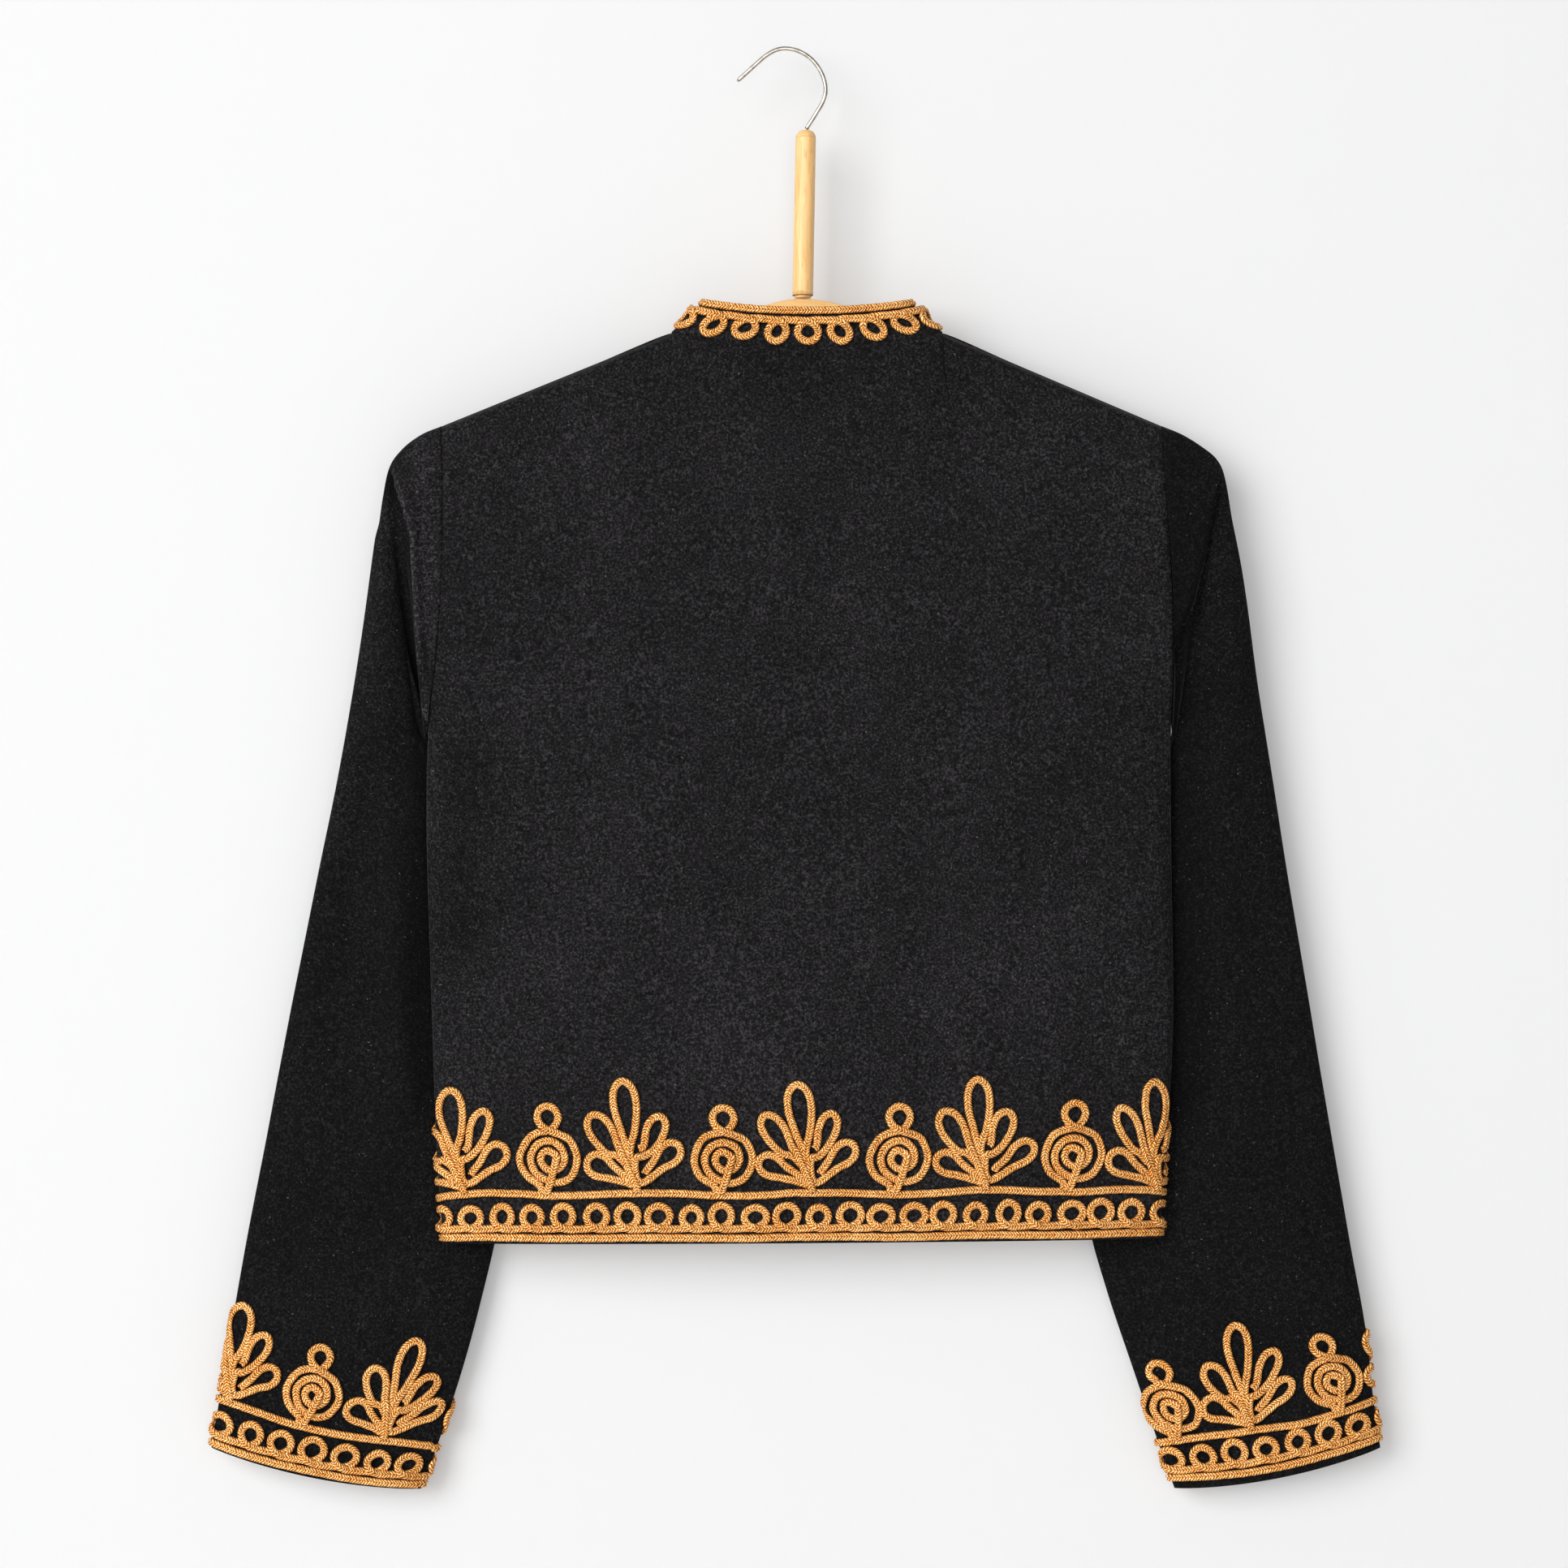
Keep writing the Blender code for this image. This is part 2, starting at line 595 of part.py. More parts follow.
def cord_corners(points, neighbours, width):
    """For each node and neighbour, where the cord's left and right border leave that node."""
    corners = {}
    limit = 1.2 * width / 2
    for node, others in neighbours.items():
        heading = {other: unit_towards(points[node], points[other]) for other in others}
        angle = {other: math.atan2(heading[other][1], heading[other][0]) for other in others}
        ordered = sorted(others, key=angle.get)
        if len(ordered) == 1:
            other = ordered[0]
            across = np.array((-heading[other][1], heading[other][0])) * width / 2
            corners[node, other, "left"] = tuple(points[node] + across)
            corners[node, other, "right"] = tuple(points[node] - across)
            continue
        for place, other in enumerate(ordered):
            after = ordered[(place + 1) % len(ordered)]
            opening = (angle[after] - angle[other]) % (2 * math.pi)
            middle = angle[other] + opening / 2
            reach = width / 2 / math.sin(opening / 2)
            if opening > math.pi:
                reach = min(reach, limit)
            corner = points[node] + reach * np.array((math.cos(middle), math.sin(middle)))
            corners[node, other, "left"] = tuple(corner)
            corners[node, after, "right"] = tuple(corner)
    return corners


def cord_mesh(points, links, width=CORD_WIDTH):
    """A flat-bottomed ridge of cord along every link of a drawing, joined where links meet."""
    points = [np.array(point, dtype=float) for point in points]
    neighbours = {}
    for start, end in links:
        neighbours.setdefault(start, []).append(end)
        neighbours.setdefault(end, []).append(start)
    corners = cord_corners(points, neighbours, width)
    bm = bmesh.new()
    crest = {node: bm.verts.new((*points[node], CORD_LIFT + CORD_HEIGHT)) for node in neighbours}
    made = {}
    foot = {}
    for key, corner in corners.items():
        if corner not in made:
            made[corner] = bm.verts.new((*corner, CORD_LIFT))
        foot[key] = made[corner]
    for start, end in links:
        start_left, start_right = foot[start, end, "left"], foot[start, end, "right"]
        end_left, end_right = foot[end, start, "left"], foot[end, start, "right"]
        bm.faces.new((start_left, end_right, end_left, start_right))
        bm.faces.new((crest[start], crest[end], end_right, start_left))
        bm.faces.new((crest[end], crest[start], start_right, end_left))
    for node, others in neighbours.items():
        ring = [foot[node, other, "left"] for other in others]
        if len(others) == 1:
            bm.faces.new((crest[node], ring[0], foot[node, others[0], "right"]))
        elif len(others) > 2:
            heading = {foot[node, other, "left"]: corners[node, other, "left"] for other in others}
            centre = points[node]
            ring.sort(key=lambda vert: math.atan2(*(np.subtract(heading[vert], centre))[::-1]))
            bm.faces.new(ring)
    return bm


def lay_trim(name, surface, drawing, material, least_turn=SHARP_TURN):
    """Wraps a drawing of cord on a surface and keeps it as one solid."""
    points, links = drawing
    bm = cord_mesh(points, links)
    reach = [vert.co.x for vert in bm.verts]
    for s in surface.bends(least_turn):
        if min(reach) < s < max(reach):
            everything = bm.verts[:] + bm.edges[:] + bm.faces[:]
            bmesh.ops.bisect_plane(
                bm, geom=everything, dist=BEND_SNAP, plane_co=(s, 0, 0), plane_no=(1, 0, 0)
            )
    for vert in bm.verts:
        vert.co = world(surface.wrap(*vert.co))
    return make_object(name, bm, material)


def straight_cord(start, end, height):
    return [(start, height), (end, height)], [(0, 1)]


def loop_row(start, end, height, direction=1, scale=1.0):
    """A running row of loops on a line of cord, up from it or, with direction -1, down."""
    count = round((end - start) / (LOOP_PITCH * scale))
    pitch = (end - start) / count
    points = [(start, height)]
    links = []
    last = 0
    for place in range(count):
        middle = start + (place + 0.5) * pitch
        loop = (
            (-LOOP_FOOT, 0.0), (-LOOP_HALF_WIDTH, LOOP_SHOULDER), (-LOOP_TOP_HALF, LOOP_TOP),
            (LOOP_TOP_HALF, LOOP_TOP), (LOOP_HALF_WIDTH, LOOP_SHOULDER), (LOOP_FOOT, 0.0),
        )
        first = len(points)
        for s, e in loop:
            points.append((middle + s * scale, height + direction * e * scale))
        links += [(first + step, first + (step + 1) % len(loop)) for step in range(len(loop))]
        links.append((last, first))
        last = first + len(loop) - 1
    points.append((end, height))
    links.append((last, len(points) - 1))
    return points, links


def placed(points, middle, height, scale, tilt):
    slant = math.tan(math.radians(tilt))
    raised = [(s * scale[0], e * scale[1]) for s, e in points]
    return [(middle + s + e * slant, height + e) for s, e in raised]


def palmette(middle, height, scale=(1.0, 1.0), tilt=0.0):
    """Five petals drawn with one cord that turns back between them."""
    points = [PETAL_VALLEYS[0]]
    for (lean, length, width, root), valley in zip(PETALS, PETAL_VALLEYS[1:]):
        along = np.array((math.sin(math.radians(lean)), math.cos(math.radians(lean))))
        across = np.array((along[1], -along[0]))
        for reach, swing in (
            (PETAL_SIDE, -1.0), (PETAL_TIP, -PETAL_TIP_WIDTH),
            (PETAL_TIP, PETAL_TIP_WIDTH), (PETAL_SIDE, 1.0),
        ):
            point = np.array((0.0, root)) + along * length * reach + across * width / 2 * swing
            points.append(tuple(point))
        points.append(valley)
    links = [(place, place + 1) for place in range(len(points) - 1)]
    return placed(points, middle, height, scale, tilt), links


def spiral(middle, height, scale=(1.0, 1.0), tilt=0.0):
    """A coil with a small loop on top, where the cord crosses itself."""
    points = []
    for angle, radius in COIL:
        turn = math.radians(angle)
        points.append((radius * math.cos(turn), COIL_CENTRE_HEIGHT + radius * math.sin(turn)))
    points.insert(COIL_BEFORE_CROSSING, (0.0, CROSSING_HEIGHT))
    links = [(place, place + 1) for place in range(len(points) - 1)]
    ring = [COIL_BEFORE_CROSSING] + [len(points) + place for place in range(len(TOP_LOOP))]
    links += [(ring[place], ring[(place + 1) % len(ring)]) for place in range(len(ring))]
    points += TOP_LOOP
    return placed(points, middle, height, scale, tilt), links


DRAWINGS = {"palmette": palmette, "spiral": spiral}


def lay_band(prefix, surface, material, rise=(0.0, 0.0)):
    """The three bands of cord along a hem or cuff: an edge cord, a row of loops, a guide cord."""
    start = surface.s_of_column[0] + 0.5
    end = surface.s_of_column[-1] - 0.5
    edge = straight_cord(start, end, EDGE_CORD_HEIGHT + rise[0])
    loops = loop_row(start, end, LOOP_BASE_HEIGHT + rise[0])
    guide = straight_cord(start, end, GUIDE_CORD_HEIGHT + rise[1])
    lay_trim(f"{prefix}_edge_cord", surface, edge, material, least_turn=0.0)
    lay_trim(f"{prefix}_loop_cord", surface, loops, material)
    lay_trim(f"{prefix}_guide_cord", surface, guide, material, least_turn=0.0)


def hem_place(steps):
    """Where a motif stands round the hem, counted in steps from the centre back."""
    on_back = min(abs(steps), HEM_BACK_STEPS)
    on_front = abs(steps) - on_back
    reach = on_back * HEM_BACK_PITCH + on_front * HEM_FRONT_PITCH
    return HEM_MOTIF_SHIFT + math.copysign(reach, steps)


def trim_hem(surface, material):
    lay_band("hem", surface, material)
    for kind, places in (("palmette", HEM_PALMETTES), ("spiral", HEM_SPIRALS)):
        for number, place in enumerate(places, start=1):
            drawing = DRAWINGS[kind](hem_place(place), MOTIF_HEIGHT)
            lay_trim(f"hem_{kind}_{number}", surface, drawing, material)


def trim_cuff(side_name, surface, material):
    prefix = f"cuff_{side_name}"
    rise = CUFF_BAND_RISE[side_name]
    lay_band(prefix, surface, material, rise)
    kinds = ["palmette", "spiral"]
    if CUFF_FIRST_MOTIF[side_name] == "spiral":
        kinds.reverse()
    for place, (middle, tilt, wide) in enumerate(CUFF_MOTIFS[side_name]):
        kind = kinds[place % 2]
        drawing = DRAWINGS[kind](middle, MOTIF_HEIGHT + rise[1], (wide, CUFF_MOTIF_TALL), tilt)
        lay_trim(f"{prefix}_{kind}_{place // 2 + 1}", surface, drawing, material)


def trim_collar(surface, material):
    start = surface.s_of_column[0] + 0.5
    end = surface.s_of_column[-1] - 0.5
    edge = straight_cord(start, end, COLLAR_EDGE_CORD)
    loops = loop_row(start, end, COLLAR_LOOP_CORD, -1, COLLAR_LOOP_SCALE)
    lay_trim("collar_edge_cord", surface, edge, material, least_turn=0.0)
    lay_trim("collar_loop_cord", surface, loops, material, COLLAR_SHARP_TURN)


def hem_surface(back, front_left, front_right):
    """The body's outer rows near the hem, from the left front's edge round to the right's."""
    rows = []
    for row in range(-1, -5, -1):
        rows.append(np.concatenate([front_left[row], back[row], front_right[row][::-1]]))
    return Surface(rows, len(front_left[0]) + COLUMNS_IN_HALF)


def cuff_surface(sleeve, side_name):
    """A sleeve's outer rows near the cuff, as a strip that starts and ends near its underarm."""
    around = 2 * ARMHOLE_ROWS
    if side_name == "left":
        first = ARMHOLE_ROWS - 1
        columns = [(first - place) % around for place in range(around + 1)][::-1]
        middle = columns.index(ARMHOLE_ROWS // 2)
    else:
        first = ARMHOLE_ROWS + 1
        columns = [(first - place) % around for place in range(around + 1)]
        middle = columns.index(ARMHOLE_ROWS // 2)
    rows = [[sleeve[row][column] for column in columns] for row in range(-1, -5, -1)]
    return Surface(rows, middle)


# Hanger


def bar_top(out):
    """The drop of the bar's top edge: a soft peak, then parallel to the shoulder."""
    side = -1 if out < NECK_X else 1
    neck_out = NECK_HALF_WIDTH + side * NECK_X
    slope = (SHOULDER_DROP - NECK_DROP) / (SHOULDER_OUT - neck_out)
    distance = abs(out)
    straight = NECK_DROP - slope * (neck_out - distance) + BAR_BELOW_CREST
    peak = BAR_CENTRE_DROP - (NECK_DROP - slope * neck_out + BAR_BELOW_CREST)
    rounding = math.hypot(distance * slope, peak) - distance * slope
    return straight + rounding


def hanger_bar(material):
    """A shaped wooden bar, deepest at its centre, under both shoulders."""
    bm = bmesh.new()
    rings = []
    for place in range(-BAR_STATIONS // 2, BAR_STATIONS // 2 + 1):
        share = place / (BAR_STATIONS / 2)
        out = BAR_HALF_LENGTH * math.copysign(abs(share) ** 1.3, share)
        top = bar_top(out)
        height = blend(BAR_HEIGHT_CENTRE, BAR_HEIGHT_END, smooth(abs(share)))
        half = [(thickness, top + depth) for thickness, depth in BAR_SECTION_TOP]
        half += [(thickness, top + height - rise) for thickness, rise in BAR_SECTION_BOTTOM]
        section = half + [(-thickness, drop) for thickness, drop in reversed(half)]
        rings.append([bm.verts.new(world((out, depth, drop))) for depth, drop in section])
    for ring, after in zip(rings, rings[1:]):
        for place in range(len(ring)):
            step = (place + 1) % len(ring)
            bm.faces.new((ring[place], ring[step], after[step], after[place]))
    bm.faces.new(rings[0])
    bm.faces.new(rings[-1])
    return make_object("hanger_bar", bm, material)


def hanger_neck(material):
    """The turned dowel that stands on the bar, leaning a little."""
    bm = bmesh.new()
    first_drop, last_drop = DOWEL_OUTLINE[0][1], DOWEL_OUTLINE[-1][1]
    rings = []
    for radius, drop in DOWEL_OUTLINE:
        lean = (drop - first_drop) / (last_drop - first_drop)
        middle = blend(DOWEL_TOP_X, DOWEL_FOOT_X, lean)
        ring = []
        for place in range(DOWEL_SIDES):
            turn = 2 * math.pi * place / DOWEL_SIDES
            point = (middle + radius * math.cos(turn), radius * math.sin(turn), drop)
            ring.append(bm.verts.new(world(point)))
        rings.append(ring)
    for ring, after in zip(rings, rings[1:]):
        for place in range(DOWEL_SIDES):
            step = (place + 1) % DOWEL_SIDES
            bm.faces.new((ring[place], ring[step], after[step], after[place]))
    bm.faces.new(rings[0])
    bm.faces.new(rings[-1])
    return make_object("hanger_neck", bm, material)


def smooth_route(points, steps):
    """Points on a Catmull-Rom curve through a route."""
    route = [np.array(point, dtype=float) for point in points]
    padded = [2 * route[0] - route[1]] + route + [2 * route[-1] - route[-2]]
    curve = []
    for before, start, end, after in zip(padded, padded[1:], padded[2:], padded[3:]):
        for step in range(steps):
            t = step / steps
            curve.append(
                0.5 * (
                    2 * start + (end - before) * t
                    + (2 * before - 5 * start + 4 * end - after) * t**2
                    + (3 * start - before - 3 * end + after) * t**3
                )
            )
    return curve + [route[-1]]


def hanger_hook(material):
    """The bent wire hook, in one plane."""
    curve = smooth_route(HOOK_ROUTE, WIRE_STEPS)
    bm = bmesh.new()
    rings = []
    for place, middle in enumerate(curve):
        before, after = curve[max(0, place - 1)], curve[min(len(curve) - 1, place + 1)]
        heading = unit_towards(before, after)
        side = np.array((-heading[1], heading[0]))
        ring = []
        for corner in range(WIRE_SIDES):
            turn = 2 * math.pi * corner / WIRE_SIDES
            spot = middle + side * WIRE_RADIUS * math.cos(turn)
            point = (spot[0] - CENTRE_X, WIRE_RADIUS * math.sin(turn), spot[1])
            ring.append(bm.verts.new(world(point)))
        rings.append(ring)
    for ring, after in zip(rings, rings[1:]):
        for corner in range(WIRE_SIDES):
            step = (corner + 1) % WIRE_SIDES
            bm.faces.new((ring[corner], ring[step], after[step], after[corner]))
    bm.faces.new(rings[0])
    bm.faces.new(rings[-1])
    return make_object("hanger_hook", bm, material)


def build():
    for old in list(bpy.data.objects):
        bpy.data.objects.remove(old, do_unlink=True)
    velvet = make_material("black_velvet", (0.012, 0.011, 0.014), 0.9)
    bronze_cord = make_material("bronze_cord", (0.60, 0.27, 0.07), 0.45, 0.6)
    wood = make_material("beech_wood", (0.74, 0.47, 0.22), 0.5)
    wire = make_material("steel_wire", (0.62, 0.60, 0.55), 0.3, 1.0)

    back_outer, back_inner = panel_grids(back_columns(), "back")
    make_object("back", wall_mesh(back_outer, back_inner, False), velvet)
    fronts = {}
    for side_name, side in (("left", -1), ("right", 1)):
        outer, inner = panel_grids(front_columns(side), "front")
        make_object(f"front_{side_name}", wall_mesh(outer, inner, False), velvet)
        fronts[side_name] = outer
        back_edge = back_outer[:, 0 if side < 0 else -1]
        sleeve_outer, sleeve_inner = sleeve_grids(side_name, back_edge, outer[:, -1])
        make_object(f"sleeve_{side_name}", wall_mesh(sleeve_outer, sleeve_inner, True), velvet)
        trim_cuff(side_name, cuff_surface(sleeve_outer, side_name), bronze_cord)

    collar_outer, collar_inner = collar_grids()
    make_object("collar", wall_mesh(collar_outer, collar_inner, False), velvet)
    trim_collar(Surface(collar_outer, COLLAR_COLUMNS / 2), bronze_cord)
    trim_hem(hem_surface(back_outer, fronts["left"], fronts["right"]), bronze_cord)

    hanger_bar(wood)
    hanger_neck(wood)
    hanger_hook(wire)


build()
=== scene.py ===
import math
import random

import bpy
import numpy as np
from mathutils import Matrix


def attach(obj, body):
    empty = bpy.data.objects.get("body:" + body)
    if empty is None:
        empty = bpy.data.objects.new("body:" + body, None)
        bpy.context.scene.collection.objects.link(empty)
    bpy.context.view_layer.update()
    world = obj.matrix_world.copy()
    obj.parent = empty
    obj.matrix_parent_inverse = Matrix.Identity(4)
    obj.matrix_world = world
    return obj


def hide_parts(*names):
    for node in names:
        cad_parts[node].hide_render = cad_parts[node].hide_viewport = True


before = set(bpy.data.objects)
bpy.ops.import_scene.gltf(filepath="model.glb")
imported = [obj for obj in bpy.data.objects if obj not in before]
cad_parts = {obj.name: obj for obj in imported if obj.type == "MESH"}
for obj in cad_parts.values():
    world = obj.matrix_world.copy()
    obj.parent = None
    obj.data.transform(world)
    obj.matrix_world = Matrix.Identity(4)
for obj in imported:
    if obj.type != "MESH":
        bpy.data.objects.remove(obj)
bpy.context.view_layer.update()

mm = 0.001

# Everything below is worked out in millimetres: out from the jacket's centre line,
# depth away from the viewer, and drop down from the hook's crown.
jacket = {
    "centreX": 11.5,
    "wall": 1.5,
    "seamGap": 0.3,
    "neckX": 3.0,
    "neckHalfWidth": 80.0,
    "neckDrop": 167.0,
    "neckDip": {"back": 9.4, "front": 62.0},
    "neckDepth": {"back": 14.0, "front": 20.0},
    "neckAngles": (0.0, 24.0, 48.0, 68.0, 83.0, 90.0),
    "neckFullness": 0.435,
    "neckDepthFades": 190.0,
    "neckDepthSpreads": 45.0,
    "neckDepthReach": 165.0,
    "shoulderOut": 212.5,
    "shoulderDrop": 222.0,
    "frontGap": 6.0,
    "armholeDepth": 177.6,
    "hemDrop": 703.4,
    "hemTilt": -0.007,
    "halfDepth": 18.5,
    "crestRadius": 8.0,
    "depthGrows": 180.0,
    "sideFullness": 0.65,
    "opennessFades": 310.0,
    "columnsSpread": 0.6,
    "columns": 8,
    "neckColumns": 5,
    "armholeRows": 10,
    "lowerRows": 7,
}
wall, seamGap, frontGap, crestRadius = (jacket[k] for k in ("wall", "seamGap", "frontGap", "crestRadius"))
neckX, neckHalfWidth, neckDrop = (jacket[k] for k in ("neckX", "neckHalfWidth", "neckDrop"))
shoulderOut, shoulderDrop, hemDrop = (jacket[k] for k in ("shoulderOut", "shoulderDrop", "hemDrop"))
columns, neckColumns = jacket["columns"], jacket["neckColumns"]
armholeRows, lowerRows = jacket["armholeRows"], jacket["lowerRows"]

# Side seams: drop, left and right distance from the centre line.
sideSeams = (
    (222.0, 212.6, 212.5), (258.0, 211.7, 214.0), (306.0, 211.7, 217.5),
    (354.0, 214.6, 218.8), (399.6, 220.8, 218.0), (464.0, 223.5, 218.2),
    (503.0, 220.6, 218.6), (580.0, 218.5, 220.8), (623.0, 217.2, 217.4),
    (661.0, 215.5, 214.2), (705.0, 212.0, 211.8),
)


def smooth(value):
    value = np.clip(value, 0.0, 1.0)
    return value * value * (3 - 2 * value)


def blend(start, end, share):
    return start + (end - start) * share


def toWorld(points):
    points = np.asarray(points, dtype=float)
    return np.stack(
        [(points[..., 0] + jacket["centreX"]) * mm, points[..., 1] * mm, -points[..., 2] * mm], axis=-1
    )


def unit(vectors):
    return vectors / np.maximum(np.linalg.norm(vectors, axis=-1, keepdims=True), 1e-9)


# A point between b and c on the smooth curve through four points (Catmull-Rom)
def onCurve(a, b, c, d, t):
    return 0.5 * (2 * b + (c - a) * t + (2 * a - 5 * b + 4 * c - d) * t ** 2
                  + (3 * b - a - 3 * c + d) * t ** 3)


def withEnds(row):
    return np.concatenate([2 * row[:1] - row[1:2], row, 2 * row[-1:] - row[-2:-1]])


# Smooths along one axis of a grid of points, so that a coarse cut becomes a soft cloth
def refine(grid, times, axis, closed=False):
    grid = np.moveaxis(grid, axis, 0)
    if closed:
        padded = np.concatenate([grid[-1:], grid, grid[:2]])
    else:
        padded = withEnds(grid)
    fine = []
    for place in range(len(padded) - 3):
        near = padded[place:place + 4]
        fine += [onCurve(*near, step / times) for step in range(times)]
    if not closed:
        fine.append(grid[-1])
    return np.moveaxis(np.array(fine), 0, axis)


# Cut of the body, the same shape as the solids


def columnAngle(column):
    return math.radians(90) * column / columns


def neckAngle(column):
    return math.radians(jacket["neckAngles"][min(column, neckColumns)])


def neckShare(turn):
    return abs(math.cos(turn)) ** jacket["neckFullness"]


def rowShare(row):
    armholeShare = jacket["armholeDepth"] / (hemDrop - shoulderDrop)
    if row <= armholeRows:
        return armholeShare * (1 - math.cos(math.pi * row / armholeRows)) / 2
    return blend(armholeShare, 1.0, (row - armholeRows) / lowerRows)


def sideSeam(drop, side):
    return float(np.interp(drop, [r[0] for r in sideSeams], [r[1 if side < 0 else 2] for r in sideSeams]))


def armholeOpenness(row):
    if row >= armholeRows:
        return 0.0
    return math.sqrt(1 - (rowShare(row) / rowShare(armholeRows)) ** 3)


def shoulderShare(column):
    return max(0, column - neckColumns) / (columns - neckColumns)


def columnTop(column, layer):
    turn = neckAngle(column)
    dip = jacket["neckDip"][layer] * math.cos(turn) ** (2 if layer == "back" else 1)
    drop = blend(neckDrop + dip, shoulderDrop, shoulderShare(column))
    return drop, jacket["neckDepth"][layer] * neckShare(turn) if column < neckColumns else 0.0


def wideNeckDepth(out, layer):
    away = min(1.0, abs(out - neckX) / jacket["neckDepthReach"])
    return jacket["neckDepth"][layer] * (1 + math.cos(math.pi * away)) / 2


def bodyPoint(column, row, side, layer):
    share = rowShare(row)
    hemAtSide = hemDrop + jacket["hemTilt"] * side * shoulderOut
    edgeOut = sideSeam(blend(shoulderDrop, hemAtSide, share), side)
    neckOut = side * neckX + neckHalfWidth * math.sin(neckAngle(column))
    atTop = blend(neckOut, shoulderOut, shoulderShare(column)) / shoulderOut
    spread = smooth(share / jacket["columnsSpread"])
    out = side * edgeOut * blend(atTop, math.sin(columnAngle(column)), spread)
    if layer == "front" and column == 0:
        out += side * frontGap / 2
    top, neckDepth = columnTop(column, layer)
    below = share * (hemDrop + jacket["hemTilt"] * out - top)
    drop = top + below

    openness = armholeOpenness(row)
    angle = columnAngle(column)
    lower = max(0, row - armholeRows) / lowerRows
    roundness = blend(jacket["sideFullness"], 1.0, lower)
    wide = 1 - smooth(below / jacket["opennessFades"])
    apart = blend(wide, openness, (column / columns) ** 2)
    closing = blend(abs(math.cos(angle)) ** roundness, 1.0, apart)
    crest = math.sqrt(1 - (1 - min(below, crestRadius) / crestRadius) ** 2)
    growth = (jacket["halfDepth"] - crestRadius) * smooth(below / jacket["depthGrows"])
    depth = closing * (crestRadius * crest + growth)
    thickness = depth - closing * ((crestRadius - wall) * crest + growth)
    innerDrop = drop + wall * max(0.0, 1 - below / crestRadius)
    innerOut = out - side * wall * math.sqrt(1 - openness ** 2) * math.sin(angle)
    fade = 1 - smooth(below / jacket["neckDepthFades"])
    near = smooth(below / jacket["neckDepthSpreads"])
    depth = math.hypot(depth, fade * blend(neckDepth, wideNeckDepth(out, layer), near))
    innerDepth = depth - thickness
    if column < neckColumns:
        innerDrop = drop
        if row == 0:
            innerDepth = depth - wall * math.cos(neckAngle(column))
            innerOut = out - side * wall * math.sin(neckAngle(column))
    facing = -1 if layer == "back" else 1
    edge = seamGap / 2
    return (
        (out, facing * max(depth, edge), drop),
        (innerOut, facing * max(innerDepth, edge), innerDrop),
    )


def panelGrids(columns, layer):
    rows = range(armholeRows + lowerRows + 1)
    both = np.array([[bodyPoint(column, row, side, layer) for side, column in columns] for row in rows])
    return both[:, :, 0], both[:, :, 1]


